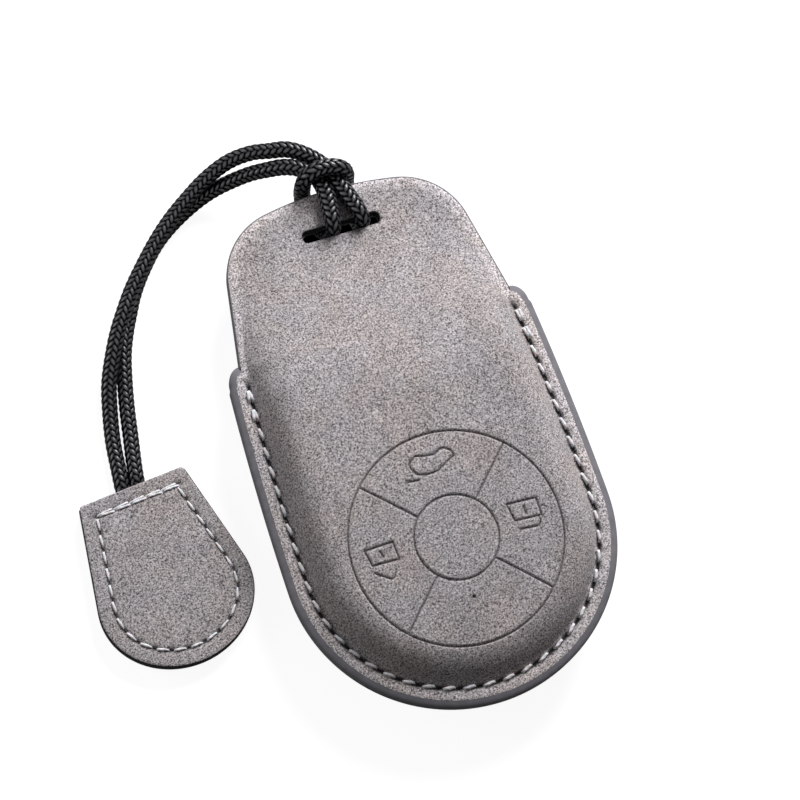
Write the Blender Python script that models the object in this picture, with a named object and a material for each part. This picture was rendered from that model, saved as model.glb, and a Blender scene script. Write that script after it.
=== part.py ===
"""Car key pouch: two moulded leather halves sewn round a key space, closed by a hitched cord with a sewn tag.

Run with: blender --background --python part.py, or from Blender's text editor.
Metres, +Z up. The pouch lies on its flat back on the plane z = 0. Its mouth points to +Y, and x = y = 0
is the centre of its round end. The cord leaves the slot near the mouth and lies beside the pouch.
"""

import math

import bmesh
import bpy
from mathutils import Matrix, Vector

MM = 0.001
DEGREE = math.pi / 180

# Layers, from the parting plane outwards
LEATHER = 0.8 * MM
LINING = 0.5 * MM
LAYER_GAP = 0.25 * MM
PARTING_GAP = 0.3 * MM
FLANGE_HALF = PARTING_GAP / 2 + LINING + LAYER_GAP + LEATHER

# Height of each moulded half over the parting plane
FRONT_DEPTH = 7.0 * MM
BACK_DEPTH = 8.5 * MM
PARTING_Z = BACK_DEPTH

# Pressed button outlines on the front, and the flat round them on top of the dome
PAD_RADIUS = 19.0 * MM
PAD_CENTRE_RADIUS = 7.5 * MM
PAD_MARGIN = 0.6 * MM
PRESSED_WIDTH = 0.45 * MM
PRESSED_DEPTH = 0.25 * MM
PAD_STEPS = 48
PAD_CENTRE_STEPS = 24
PAD_SPOKE_ANGLES = (45 * DEGREE, 135 * DEGREE, 225 * DEGREE, 315 * DEGREE)

# Moulded dome
DOME_FOOT_INSET = 4.1 * MM
DOME_WIDTH = 6.2 * MM
TONGUE_LIP = 1.2 * MM
TONGUE_DOME_WIDTH = 10.0 * MM
DOME_RING_SHARES = (0.08, 0.2, 0.36, 0.55, 0.77, 1.0)
DOME_ROUNDNESS = 2.2
DOME_STEEPNESS = 0.75

# Sewn flange: a round end, two slightly bowed sides and two round shoulders
FLANGE_HALF_WIDTH = PAD_RADIUS + PAD_MARGIN + DOME_WIDTH + DOME_FOOT_INSET
ROUND_END_FLATNESS = 0.5 * MM
ROUND_END_DEPTH = FLANGE_HALF_WIDTH - ROUND_END_FLATNESS
SIDE_BOW = 1.6 * MM
SHOULDER_Y = 41.3 * MM
SHOULDER_HALF_WIDTH = FLANGE_HALF_WIDTH - SIDE_BOW
SHOULDER_LEDGE = 2.7 * MM
SHOULDER_ROUND = 3.4 * MM

# Tongue above the shoulders, where the halves are not sewn
TONGUE_FOOT_HALF_WIDTH = SHOULDER_HALF_WIDTH - SHOULDER_LEDGE
TONGUE_TAPER = 10.2 * DEGREE
TONGUE_CORNER_RADIUS = 13.0 * MM
TONGUE_TOP_RADIUS = 67.0 * MM
TONGUE_TOP_Y = 68.1 * MM

# Slot for the cord
SLOT_INSET = 7.6 * MM
SLOT_Y = TONGUE_TOP_Y - SLOT_INSET
SLOT_LENGTH = 14.7 * MM
SLOT_HEIGHT = 2.25 * MM
SLOT_CORNER = 0.9 * MM
SLOT_CORNER_STEPS = 3

# Where the dome starts to fall towards the mouth, where it is flat, and how far up its ridge runs
DOME_FLAT_PAST_PAD = 9.0 * MM
DOME_FLAT_BELOW_SLOT = 1.5 * MM
SPINE_BELOW_SLOT = 10.5 * MM
CROWN_START_Y = PAD_RADIUS + DOME_FLAT_PAST_PAD
CROWN_END_Y = SLOT_Y - DOME_FLAT_BELOW_SLOT
SPINE_TOP_Y = SLOT_Y - SPINE_BELOW_SLOT

# Steps along the outline of one half
END_STEPS = 9
SIDE_STEPS = 4
SHOULDER_STEPS = 4
TONGUE_STEPS = 3
CORNER_STEPS = 5
TOP_STEPS = 2

# Cut edges and their coat of edge paint
FLANGE_COAT_WIDTH = 1.6 * MM
COAT_THICKNESS = 0.3 * MM
COAT_REACH = 70 * DEGREE
FLANGE_TOP_INSET = 1.65 * MM
FLANGE_INNER_INSET = 1.0 * MM
LINING_INSET = 0.8 * MM
TONGUE_COAT_WIDTH = 0.5 * MM
TONGUE_INSET = TONGUE_COAT_WIDTH + PARTING_GAP
COAT_STEPS = 6
TONGUE_COAT_STEPS = 4

# Seam
STITCH_INSET = 3.4 * MM
STITCH_PITCH = 3.6 * MM
SEAM_BELOW_SHOULDER = 3.9 * MM
SEAM_TOP_Y = SHOULDER_Y - SEAM_BELOW_SHOULDER
THREAD_DIAMETER = 0.5 * MM
GROOVE_WIDTH = 0.9 * MM
GROOVE_DEPTH = 0.4 * MM
THREAD_RISE = 0.12 * MM
THREAD_FLOOR_GAP = 0.15 * MM
SEAM_GROOVE_STEPS = 44

# Tag, in its own frame: its origin is the middle of its top edge, on the surface it lies on
TAG_TURN = 4.7 * DEGREE
TAG_TOP_HALF_WIDTH = 9.9 * MM
TAG_ROUND_HALF_WIDTH = 14.0 * MM
TAG_ROUND_DEPTH = 12.6 * MM
TAG_ROUND_CENTRE_DEPTH = 21.1 * MM
TAG_CORNER = 0.7 * MM
TAG_LEATHER = 0.8 * MM
TAG_CORE = 1.4 * MM
TAG_LAYER_GAP = 0.2 * MM
TAG_THICKNESS = 2 * TAG_LEATHER + 2 * TAG_LAYER_GAP + TAG_CORE
TAG_COAT = 0.3 * MM
TAG_COAT_SETBACK = 0.15 * MM
TAG_COAT_GAP = 0.25 * MM
TAG_STITCH_INSET = 2.9 * MM
TAG_STITCH_PITCH = 3.1 * MM
TAG_THREAD_DIAMETER = 0.45 * MM
TAG_GROOVE_WIDTH = 0.85 * MM
TAG_GROOVE_DEPTH = 0.35 * MM
TAG_BACK_GROOVE_DEPTH = 0.62 * MM
TAG_ARC_STEPS = 22
TAG_SIDE_STEPS = 3

# Cord
CORD_DIAMETER = 2.6 * MM
CORD_GAP = 0.3 * MM
KNOT_SQUEEZE_SHARE = 0.9
SLOT_SQUEEZE_SHARE = 0.68
STRAND_STEP = 5.6 * MM
KNOT_STEP = 1.45 * MM
CORD_END_LENGTH = 6.0 * MM
CORD_END_WIDTH = 2.4 * MM
CORD_END_PITCH = 2.72 * MM
CORE_NOTCH_GAP = 0.25 * MM

# Overrun of every cutter past what it cuts
OVERRUN = 1.0 * MM

# The hitch, from where the outer strand enters it to where the inner strand leaves it
HITCH_ROUTE = [
    Vector(point) * MM
    for point in (
        (-7.4, 78.1, 9.8),
        (-4.9, 77.4, 10.4),
        (-2.3, 75.7, 10.7),
        (0.0, 73.3, 10.8),
        (1.4, 70.9, 11.0),
        (2.15, 68.6, 11.5),
        (2.8, 66.0, 11.75),
        (3.4, 63.6, 11.8),
        (3.8, 61.8, 11.8),
        (4.0, 60.5, 10.8),
        (4.1, 60.45, 8.5),
        (4.2, 60.5, 6.2),
        (4.3, 61.8, 5.2),
        (4.4, 63.9, 5.2),
        (4.6, 66.4, 5.2),
        (4.75, 68.5, 5.7),
        (4.8, 69.5, 7.2),
        (4.8, 69.65, 9.0),
        (4.7, 69.85, 11.0),
        (4.0, 70.3, 12.9),
        (2.7, 70.8, 13.9),
        (1.0, 71.2, 14.1),
        (-1.0, 71.3, 14.1),
        (-2.7, 71.0, 13.8),
        (-4.0, 70.5, 12.8),
        (-4.65, 69.9, 11.0),
        (-4.8, 69.6, 9.0),
        (-4.75, 69.5, 7.2),
        (-4.5, 68.5, 5.7),
        (-4.0, 66.4, 5.2),
        (-3.2, 63.9, 5.2),
        (-2.4, 61.8, 5.2),
        (-1.9, 60.5, 6.2),
        (-1.6, 60.45, 8.5),
        (-1.5, 60.5, 10.8),
        (-1.45, 61.8, 11.8),
        (-1.3, 63.6, 11.8),
        (-1.1, 66.0, 11.75),
        (-1.0, 68.4, 11.5),
        (-1.65, 70.6, 11.0),
        (-3.0, 72.4, 10.8),
        (-4.7, 73.7, 10.4),
        (-6.6, 74.6, 9.7),
        (-8.4, 75.1, 8.9),
    )
]

# The free strands, from the hitch to the tag
OUTER_ROUTE = [
    Vector(point) * MM
    for point in (
        (-7.78, 78.25, 9.69),
        (-11.2, 79.2, 8.6),
        (-15.4, 79.2, 7.2),
        (-20.0, 77.7, 5.9),
        (-24.3, 75.3, 5.0),
        (-28.4, 72.5, 4.6),
        (-32.1, 69.3, 4.5),
        (-35.8, 65.5, 4.5),
        (-38.9, 62.0, 4.5),
        (-41.4, 58.6, 4.5),
        (-43.7, 55.2, 4.2),
        (-45.9, 51.2, 3.6),
        (-47.9, 46.8, 2.6),
        (-49.25, 41.9, 1.7),
        (-50.3, 36.8, 1.4),
        (-50.85, 32.0, 1.6),
        (-51.25, 27.97, 1.7),
    )
]
INNER_ROUTE = [
    Vector(point) * MM
    for point in (
        (-8.77, 75.2, 8.69),
        (-12.1, 76.0, 6.8),
        (-16.1, 76.2, 4.8),
        (-19.8, 75.9, 3.1),
        (-24.0, 74.6, 1.9),
        (-28.6, 72.2, 1.45),
        (-32.3, 69.4, 1.4),
        (-35.9, 65.5, 1.4),
        (-38.5, 62.0, 1.4),
        (-40.4, 58.6, 1.4),
        (-42.1, 55.3, 1.4),
        (-43.7, 51.4, 1.4),
        (-45.0, 46.7, 1.4),
        (-46.15, 41.6, 1.4),
        (-47.1, 36.4, 1.4),
        (-47.95, 31.9, 1.6),
        (-48.5, 28.17, 1.7),
    )
]

# Places of the joints: between the strands where they leave the hitch, and at the tag's top edge
TAG_AXIS = Vector((-math.sin(TAG_TURN), math.cos(TAG_TURN), 0))
SWING_PIVOT = (OUTER_ROUTE[0] + INNER_ROUTE[0]) / 2
TAG_PIVOT = (OUTER_ROUTE[-1] + INNER_ROUTE[-1]) / 2 - TAG_AXIS * CORD_GAP
TAG_PIVOT.z = TAG_THICKNESS / 2


def clear_scene():
    for obj in list(bpy.data.objects):
        bpy.data.objects.remove(obj, do_unlink=True)


def principled(name, colour, roughness):
    """A plain material for one kind of surface."""
    material = bpy.data.materials.new(name)
    material.use_nodes = True
    shader = material.node_tree.nodes["Principled BSDF"]
    shader.inputs["Base Color"].default_value = (*colour, 1)
    shader.inputs["Roughness"].default_value = roughness
    shader.inputs["Metallic"].default_value = 0
    material.diffuse_color = (*colour, 1)
    return material


def smooth_step(share):
    share = min(max(share, 0), 1)
    return share * share * (3 - 2 * share)


def blend(low, high, share):
    return low + (high - low) * share


def add_object(name, bm, material, smooth=True):
    """A mesh object from a bmesh, with its faces turned outwards."""
    bmesh.ops.recalc_face_normals(bm, faces=bm.faces)
    if bm.calc_volume(signed=True) < 0:
        bmesh.ops.reverse_faces(bm, faces=bm.faces)
    mesh = bpy.data.meshes.new(name)
    bm.to_mesh(mesh)
    bm.free()
    for polygon in mesh.polygons:
        polygon.use_smooth = smooth
    if material:
        mesh.materials.append(material)
    obj = bpy.data.objects.new(name, mesh)
    bpy.context.scene.collection.objects.link(obj)
    return obj


def as_cutter(obj):
    obj.hide_render = True
    obj.display_type = "WIRE"
    return obj


def cut(obj, cutter):
    modifier = obj.modifiers.new(cutter.name, "BOOLEAN")
    modifier.operation = "DIFFERENCE"
    modifier.solver = "EXACT"
    modifier.object = cutter


# Outline of the pouch


def side_x(y, inset):
    """Half width of the bowed side at height y."""
    drop = FLANGE_HALF_WIDTH - SHOULDER_HALF_WIDTH
    radius = (SHOULDER_Y**2 + drop**2) / (2 * drop)
    return FLANGE_HALF_WIDTH - inset - (radius - math.sqrt(radius**2 - y**2))


def end_point(angle, inset):
    """A point of the round end: 0 is straight down, a quarter turn is the widest place."""
    return (
        (FLANGE_HALF_WIDTH - inset) * math.sin(angle),
        -(ROUND_END_DEPTH - inset) * math.cos(angle),
    )


def shoulder_point(angle, inset):
    """A point of the shoulder: 0 is on the side, a quarter turn is on the top of the shoulder."""
    across = SHOULDER_HALF_WIDTH - TONGUE_FOOT_HALF_WIDTH
    return (
        TONGUE_FOOT_HALF_WIDTH + (across - inset) * math.cos(angle),
        SHOULDER_Y - SHOULDER_ROUND + (SHOULDER_ROUND - inset) * math.sin(angle),
    )


def tongue_corner_centre():
    """Centre of the arc that touches the tapered side and the top arc."""
    sine, cosine = math.sin(TONGUE_TAPER), math.cos(TONGUE_TAPER)
    along = TONGUE_FOOT_HALF_WIDTH * cosine + SHOULDER_Y * sine - TONGUE_CORNER_RADIUS
    top_centre = TONGUE_TOP_Y - TONGUE_TOP_RADIUS
    reach = TONGUE_TOP_RADIUS - TONGUE_CORNER_RADIUS
    middle = along * sine + cosine**2 * top_centre
    rest = along**2 + cosine**2 * (top_centre**2 - reach**2)
    y = middle + math.sqrt(middle**2 - rest)
    return (along - y * sine) / cosine, y


def tongue_x(y, inset):
    """Half width of the tongue's straight side at height y."""
    cosine = math.cos(TONGUE_TAPER)
    return TONGUE_FOOT_HALF_WIDTH - (y - SHOULDER_Y) * math.tan(TONGUE_TAPER) - inset / cosine


def tongue_points(start_y, inset):
    """The right edge of the tongue, from start_y up to the middle of its top."""
    centre_x, centre_y = tongue_corner_centre()
    radius = TONGUE_CORNER_RADIUS - inset
    end_y = centre_y + radius * math.sin(TONGUE_TAPER)
    points = []
    for step in range(TONGUE_STEPS):
        y = blend(start_y, end_y, step / TONGUE_STEPS)
        points.append((tongue_x(y, inset), y))
    top_centre = TONGUE_TOP_Y - TONGUE_TOP_RADIUS
    last = math.atan2(centre_y - top_centre, centre_x)
    for step in range(CORNER_STEPS):
        angle = blend(TONGUE_TAPER, last, step / CORNER_STEPS)
        points.append((centre_x + radius * math.cos(angle), centre_y + radius * math.sin(angle)))
    for step in range(TOP_STEPS + 1):
        angle = blend(last, 90 * DEGREE, step / TOP_STEPS)
        reach = TONGUE_TOP_RADIUS - inset
        points.append((reach * math.cos(angle), top_centre + reach * math.sin(angle)))
    return points


def flange_points(inset):
    """The right edge of the flange, from the bottom of the round end to the top of the shoulder."""
    points = [end_point(90 * DEGREE * step / END_STEPS, inset) for step in range(END_STEPS)]
    side_top = SHOULDER_Y - SHOULDER_ROUND
    for step in range(SIDE_STEPS):
        y = side_top * step / SIDE_STEPS
        points.append((side_x(y, inset), y))
    for step in range(SHOULDER_STEPS + 1):
        points.append(shoulder_point(90 * DEGREE * step / SHOULDER_STEPS, inset))
    return points


def edge_points(flange_inset, tongue_inset):
    """The right half of a layer's cut edge, from the bottom up."""
    return flange_points(flange_inset) + tongue_points(SHOULDER_Y - flange_inset, tongue_inset)


def foot_points(depth):
    """The right half of the dome's foot, point for point beside edge_points."""
    inset = DOME_FOOT_INSET + depth
    lip = TONGUE_LIP + depth
    points = [end_point(90 * DEGREE * step / END_STEPS, inset) for step in range(END_STEPS)]
    side_top = SHOULDER_Y - SHOULDER_ROUND
    for step in range(SIDE_STEPS):
        y = side_top * step / SIDE_STEPS
        points.append((side_x(y, inset), y))
    for step in range(SHOULDER_STEPS + 1):
        share = step / (SHOULDER_STEPS + 1)
        y = blend(side_top, SHOULDER_Y, share)
        points.append((blend(side_x(y, inset), tongue_x(y, lip), smooth_step(share)), y))
    return points + tongue_points(SHOULDER_Y, lip)


def crown(y):
    """Share of the dome's height that is left at height y."""
    return 1 - smooth_step((y - CROWN_START_Y) / (CROWN_END_Y - CROWN_START_Y))


def dome_width(y):
    return blend(TONGUE_DOME_WIDTH, DOME_WIDTH, crown(y))


def dome_rings(depth):
    """Rings of (x, y, share of the dome's height) from the foot inwards, and the spine points."""
    foot = [Vector(point) for point in foot_points(depth)]
    spine = [Vector((0, min(max(point.y, 0), SPINE_TOP_Y))) for point in foot]
    rings = [[(point.x, point.y, 0) for point in foot]]
    for share in DOME_RING_SHARES:
        ring = []
        for outer, inner in zip(foot, spine):
            place = outer + (inner - outer).normalized() * dome_width(outer.y) * share
            height = (1 - (1 - share) ** DOME_ROUNDNESS) ** DOME_STEEPNESS
            ring.append((place.x, place.y, height * crown(place.y)))
        rings.append(ring)
    return rings, [(point.x, point.y, crown(point.y)) for point in spine]


def layer_surface(bm, side, rise, depth, insets):
    """One surface of a layer as rings of vertices. It returns its edge ring, to close the layer."""

    def vertex(point):
        height = FLANGE_HALF - depth + rise * point[2]
        return bm.verts.new((point[0], point[1], PARTING_Z + side * height))

    def whole_ring(half):
        right = [vertex(point) for point in half]
        left = [vertex((-point[0], point[1], point[2])) for point in half[1:-1]]
        return right + left[::-1]

    rings, spine = dome_rings(depth)
    edge = [(x, y, 0) for x, y in edge_points(*insets)]
    loops = [whole_ring(edge)] + [whole_ring(ring) for ring in rings]
    count = len(loops[0])
    for outer, inner in zip(loops, loops[1:]):
        for i in range(count):
            j = (i + 1) % count
            bm.faces.new((outer[i], outer[j], inner[j], inner[i]))
    middle = {}
    for point in spine:
        if point[1] not in middle:
            middle[point[1]] = vertex(point)
    half = [middle[point[1]] for point in spine]
    centres = half + half[1:-1][::-1]
    for i in range(count):
        j = (i + 1) % count
        corners = (loops[-1][i], loops[-1][j], centres[j], centres[i])
        bm.faces.new(corners if centres[i] != centres[j] else corners[:3])
    return loops[0]


def layer(name, side, rise, depths, insets, material):
    """One sheet of the pouch, from its outer surface to its inner one."""
    bm = bmesh.new()
    outer = layer_surface(bm, side, rise, depths[0], insets[0])
    inner = layer_surface(bm, side, rise, depths[1], insets[1])
    for i in range(len(outer)):
        j = (i + 1) % len(outer)
        bm.faces.new((outer[i], outer[j], inner[j], inner[i]))
    return add_object(name, bm, material)


# Paths and sweeps


def spread(points, step=None, count=None, closed=False):
    """Points at even distances along a polyline, with its ends kept."""
    chain = [Vector(point) for point in points]
    if closed:
        chain.append(chain[0].copy())
    lengths = [0]
    for a, b in zip(chain, chain[1:]):
        lengths.append(lengths[-1] + (b - a).length)
    parts = count or max(2, round(lengths[-1] / step))
    found = []
    at = 0
    for i in range(parts + (0 if closed else 1)):
        wanted = lengths[-1] * i / parts
        while at < len(chain) - 2 and lengths[at + 1] < wanted:
            at += 1
        share = (wanted - lengths[at]) / (lengths[at + 1] - lengths[at])
        found.append(chain[at].lerp(chain[at + 1], share))
    return found


def normals_of(path, closed=False):
    """Normals of a flat path, to the right of its direction, with lengths that mitre its corners."""
    sides = []
    for a, b in zip(path, path[1:] + path[:1]):
        along = (b - a).normalized()
        sides.append(Vector((along.y, -along.x)))
    normals = [(sides[i - 1] + side) / (1 + sides[i - 1].dot(side)) for i, side in enumerate(sides)]
    if not closed:
        normals[0] = sides[0]
        normals[-1] = sides[-2]
    return normals


def sweep(name, path, section, material, closed=False, smooth=True):
    """A closed section of (inset, z) points carried along a flat path. Inset is to the path's left."""
    bm = bmesh.new()
    rings = []
    for place, normal in zip(path, normals_of(path, closed)):
        ring = []
        for inset, z in section:
            spot = place - normal * inset
            ring.append(bm.verts.new((spot.x, spot.y, z)))
        rings.append(ring)
    pairs = list(zip(rings, rings[1:])) + ([(rings[-1], rings[0])] if closed else [])
    for a, b in pairs:
        for i in range(len(section)):
            j = (i + 1) % len(section)
            bm.faces.new((a[i], a[j], b[j], b[i]))
    if not closed:
        bm.faces.new(rings[0])
        bm.faces.new(rings[-1])
    return add_object(name, bm, material, smooth)


def seam_line(inset, top_y, count=None, step=None):
    """A line beside the flange's edge, from the left shoulder round the end to the right shoulder."""
    right = [Vector(end_point(90 * DEGREE * i / (4 * END_STEPS), inset)) for i in range(4 * END_STEPS)]
    rise = [top_y * i / (4 * SIDE_STEPS) for i in range(4 * SIDE_STEPS + 1)]
    right += [Vector((side_x(y, inset), y)) for y in rise]
    left = [Vector((-point.x, point.y)) for point in right[1:]]
    return spread(left[::-1] + right, step=step, count=count)


def tube(name, points, radius, material, shares=None, resolution=2, cyclic=False):
    """A round cord or thread along its points, with closed ends."""
    data = bpy.data.curves.new(name, "CURVE")
    data.dimensions = "3D"
    data.bevel_depth = radius
    data.bevel_resolution = resolution
    data.use_fill_caps = True
    spline = data.splines.new("POLY")
    spline.points.add(len(points) - 1)
    for i, point in enumerate(points):
        spline.points[i].co = (*point, 1)
        spline.points[i].radius = shares[i] if shares else 1
    spline.use_cyclic_u = cyclic
    spline.use_smooth = True
    data.materials.append(material)
    obj = bpy.data.objects.new(name, data)
    bpy.context.scene.collection.objects.link(obj)
    return obj


def stitched_points(path, floor_z, side, diameter, rise):
    """A row of stitches: the thread dips at each needle hole and rises between two holes."""
    low = floor_z + side * (THREAD_FLOOR_GAP + diameter / 2)
    return [
        Vector((point.x, point.y, low + side * (rise if i % 2 else 0)))
        for i, point in enumerate(path)
    ]


def smooth_curve(route, step):
    """Points a step apart on the smooth curve through a route's points."""
    ends = [2 * route[0] - route[1]] + route + [2 * route[-1] - route[-2]]
    dense = []
    parts = 12
    for a, b, c, d in zip(ends, ends[1:], ends[2:], ends[3:]):
        for i in range(parts):
            t = i / parts
            dense.append(
                0.5 * (2 * b + (c - a) * t + (2 * a - 5 * b + 4 * c - d) * t**2
                       + (3 * b - a - 3 * c + d) * t**3)
            )
    return spread(dense + [route[-1]], step=step)


def least_gap(points, radii, near):
    """Least gap between two stretches of one tube that are more than near apart along it."""
    along = [0]
    for a, b in zip(points, points[1:]):
        along.append(along[-1] + (b - a).length)
    return min(
        (points[i] - points[j]).length - radii[i] - radii[j]
        for i in range(len(points))
        for j in range(i)
        if along[i] - along[j] > near
    )


# Pieces of the pouch


def build_pouch(leather, lining, paint, thread):
    depths = [0, LEATHER, LEATHER + LAYER_GAP, LEATHER + LAYER_GAP + LINING]
    skin_insets = ((FLANGE_TOP_INSET, TONGUE_INSET), (FLANGE_INNER_INSET, TONGUE_INSET))
    lining_insets = ((LINING_INSET, TONGUE_INSET), (LINING_INSET, TONGUE_INSET))
    front_rise = FRONT_DEPTH - FLANGE_HALF
    back_rise = BACK_DEPTH - FLANGE_HALF
    front = layer("front_panel", 1, front_rise, depths[:2], skin_insets, leather)
    back = layer("back_panel", -1, back_rise, depths[:2], skin_insets, leather)
    front_lining = layer("front_lining", 1, front_rise, depths[2:], lining_insets, lining)
    back_lining = layer("back_lining", -1, back_rise, depths[2:], lining_insets, lining)
    slot = slot_cutter()
    for obj in (front, front_lining, back_lining, back):
        cut(obj, slot)
    pieces = [front, back, front_lining, back_lining]
    for obj, side, word in ((front, 1, "front"), (back, -1, "back")):
        cut(obj, seam_groove(side, word))
        pieces.append(seam_thread(side, word, thread))
        pieces.append(tongue_coat(side, word, paint))
    cut_pad(front)
    pieces.append(flange_coat(paint))
    return pieces


def slot_cutter():
    """The slot for the cord, through all four layers."""
    bm = bmesh.new()
    outline = []
    for corner in range(4):
        sign_x = 1 if corner in (0, 3) else -1
        sign_y = 1 if corner < 2 else -1
        centre_x = sign_x * (SLOT_LENGTH / 2 - SLOT_CORNER)
        centre_y = SLOT_Y + sign_y * (SLOT_HEIGHT / 2 - SLOT_CORNER)
        for step in range(SLOT_CORNER_STEPS + 1):
            angle = 90 * DEGREE * (corner + step / SLOT_CORNER_STEPS)
            x = centre_x + SLOT_CORNER * math.cos(angle)
            y = centre_y + SLOT_CORNER * math.sin(angle)
            outline.append(bm.verts.new((x, y, -OVERRUN)))
    face = bm.faces.new(outline)
    raised = bmesh.ops.extrude_face_region(bm, geom=[face])
    top = [item for item in raised["geom"] if isinstance(item, bmesh.types.BMVert)]
    height = BACK_DEPTH + FRONT_DEPTH + 2 * OVERRUN
    bmesh.ops.translate(bm, verts=top, vec=(0, 0, height))
    return as_cutter(add_object("slot_cutter", bm, None, smooth=False))


def seam_groove(side, word):
    path = seam_line(STITCH_INSET, SEAM_TOP_Y, count=SEAM_GROOVE_STEPS)
    surface = PARTING_Z + side * FLANGE_HALF
    half = GROOVE_WIDTH / 2
    low, high = surface - side * GROOVE_DEPTH, surface + side * OVERRUN
    section = ((-half, low), (half, low), (half, high), (-half, high))
    return as_cutter(sweep(word + "_groove_cutter", path, section, None, smooth=False))


def seam_thread(side, word, thread):
    """The lockstitch thread of one side, in its groove."""
    run = (GROOVE_WIDTH - THREAD_DIAMETER) / 2
    path = seam_line(STITCH_INSET, SEAM_TOP_Y - run - LAYER_GAP, step=STITCH_PITCH / 2)
    floor = PARTING_Z + side * (FLANGE_HALF - GROOVE_DEPTH)
    points = stitched_points(path, floor, side, THREAD_DIAMETER, THREAD_RISE)
    return tube(word + "_seam_thread", points, THREAD_DIAMETER / 2, thread, resolution=1)


def flange_coat(paint):
    """The rounded coat of edge paint over the sewn edge."""
    right = [Vector(point) for point in flange_points(0)]
    path = [Vector((-point.x, point.y)) for point in right[1:]][::-1] + right
    start = Vector((path[-1].x + PARTING_GAP, path[-1].y))
    path[-1] = start
    path[0] = Vector((-start.x, start.y))
    section = []
    for step in range(COAT_STEPS + 1):
        angle = blend(-COAT_REACH, COAT_REACH, step / COAT_STEPS)
        inset = FLANGE_COAT_WIDTH * (1 - math.cos(angle))
        section.append((inset, PARTING_Z + FLANGE_HALF * math.sin(angle)))
    for step in range(COAT_STEPS + 1):
        angle = blend(COAT_REACH, -COAT_REACH, step / COAT_STEPS)
        inset = FLANGE_COAT_WIDTH - (FLANGE_COAT_WIDTH - COAT_THICKNESS) * math.cos(angle)
        section.append((inset, PARTING_Z + (FLANGE_HALF - COAT_THICKNESS) * math.sin(angle)))
    return sweep("flange_edge_coat", path, section, paint)


def tongue_coat(side, word, paint):
    """The coat of edge paint round the tongue of one half."""
    right = [Vector(point) for point in tongue_points(SHOULDER_Y + PARTING_GAP, 0)]
    path = right + [Vector((-point.x, point.y)) for point in right[:-1]][::-1]
    inner = PARTING_GAP / 2
    half = (FLANGE_HALF - inner) / 2
    centre = PARTING_Z + side * (inner + half)
    section = []
    for step in range(TONGUE_COAT_STEPS + 1):
        angle = blend(-90 * DEGREE, 90 * DEGREE, step / TONGUE_COAT_STEPS)
        section.append((TONGUE_COAT_WIDTH * (1 - math.cos(angle)), centre + half * math.sin(angle)))
    return sweep(word + "_tongue_coat", path, section, paint)


def ring_cutter(name, radius, steps):
    """A cutter for a pressed circle on the flat of the front."""
    path = [
        Vector((radius * math.cos(360 * DEGREE * i / steps), radius * math.sin(360 * DEGREE * i / steps)))
        for i in range(steps)
    ]
    half = PRESSED_WIDTH / 2
    top = PARTING_Z + FRONT_DEPTH
    low, high = top - PRESSED_DEPTH, top + OVERRUN
    section = ((-half, low), (half, low), (half, high), (-half, high))
    return as_cutter(sweep(name, path, section, None, closed=True, smooth=False))


def cut_pad(front):
    """The pressed button outlines: an outer circle, an inner circle and four spokes."""
    cut(front, ring_cutter("pad_circle_cutter", PAD_RADIUS, PAD_STEPS))
    cut(front, ring_cutter("pad_centre_cutter", PAD_CENTRE_RADIUS, PAD_CENTRE_STEPS))
    top = PARTING_Z + FRONT_DEPTH
    length = PAD_RADIUS - PAD_CENTRE_RADIUS
    for number, angle in enumerate(PAD_SPOKE_ANGLES):
        bm = bmesh.new()
        bmesh.ops.create_cube(bm, size=1)
        height = PRESSED_DEPTH + OVERRUN
        bmesh.ops.scale(bm, verts=bm.verts, vec=(length, PRESSED_WIDTH, height))
        reach = PAD_CENTRE_RADIUS + length / 2
        place = (reach, 0, top - PRESSED_DEPTH + height / 2)
        bmesh.ops.translate(bm, verts=bm.verts, vec=place)
        bmesh.ops.rotate(bm, verts=bm.verts, cent=(0, 0, 0), matrix=Matrix.Rotation(angle, 3, "Z"))
        cut(front, as_cutter(add_object(f"pad_spoke_cutter_{number}", bm, None, smooth=False)))


# Pieces of the tag


def tag_outline(inset, corner_cut=TAG_CORNER):
    """The tag's outline in its own frame, from its top left corner round the bottom to its top right.

    The round part is half an ellipse, taken point by point by the direction of its normal, and the straight
    sides touch it where they meet.
    """
    squares = TAG_ROUND_HALF_WIDTH**2, TAG_ROUND_DEPTH**2
    away = TAG_TOP_HALF_WIDTH, TAG_ROUND_CENTRE_DEPTH
    across, along = away[0] ** 2 - squares[0], away[1] ** 2 - squares[1]
    product = away[0] * away[1]
    touch = math.atan((math.sqrt(product**2 - along * across) - product) / along)
    centre = Vector((0, -TAG_ROUND_CENTRE_DEPTH))
    arc = []
    for i in range(TAG_ARC_STEPS + 1):
        angle = blend(180 * DEGREE - touch, 360 * DEGREE + touch, i / TAG_ARC_STEPS)
        normal = Vector((math.cos(angle), math.sin(angle)))
        point = Vector((squares[0] * normal.x, squares[1] * normal.y))
        arc.append(centre + point / math.sqrt(point.dot(normal)) - normal * inset)
    top = -inset
    side_normal = Vector((math.cos(touch), math.sin(touch)))
    reach = (arc[-1].dot(side_normal) - top * side_normal.y) / side_normal.x
    right_top, left_top = Vector((reach, top)), Vector((-reach, top))
    left = [left_top.lerp(arc[0], i / TAG_SIDE_STEPS) for i in range(TAG_SIDE_STEPS)]
    right = [arc[-1].lerp(right_top, i / TAG_SIDE_STEPS) for i in range(1, TAG_SIDE_STEPS + 1)]
    if not corner_cut:
        return left + arc + right
    left[0] = left_top + (arc[0] - left_top).normalized() * corner_cut
    right[-1] = right_top + (arc[-1] - right_top).normalized() * corner_cut
    inward = Vector((corner_cut, 0))
    return [left_top + inward] + left + arc + right + [right_top - inward]


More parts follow.
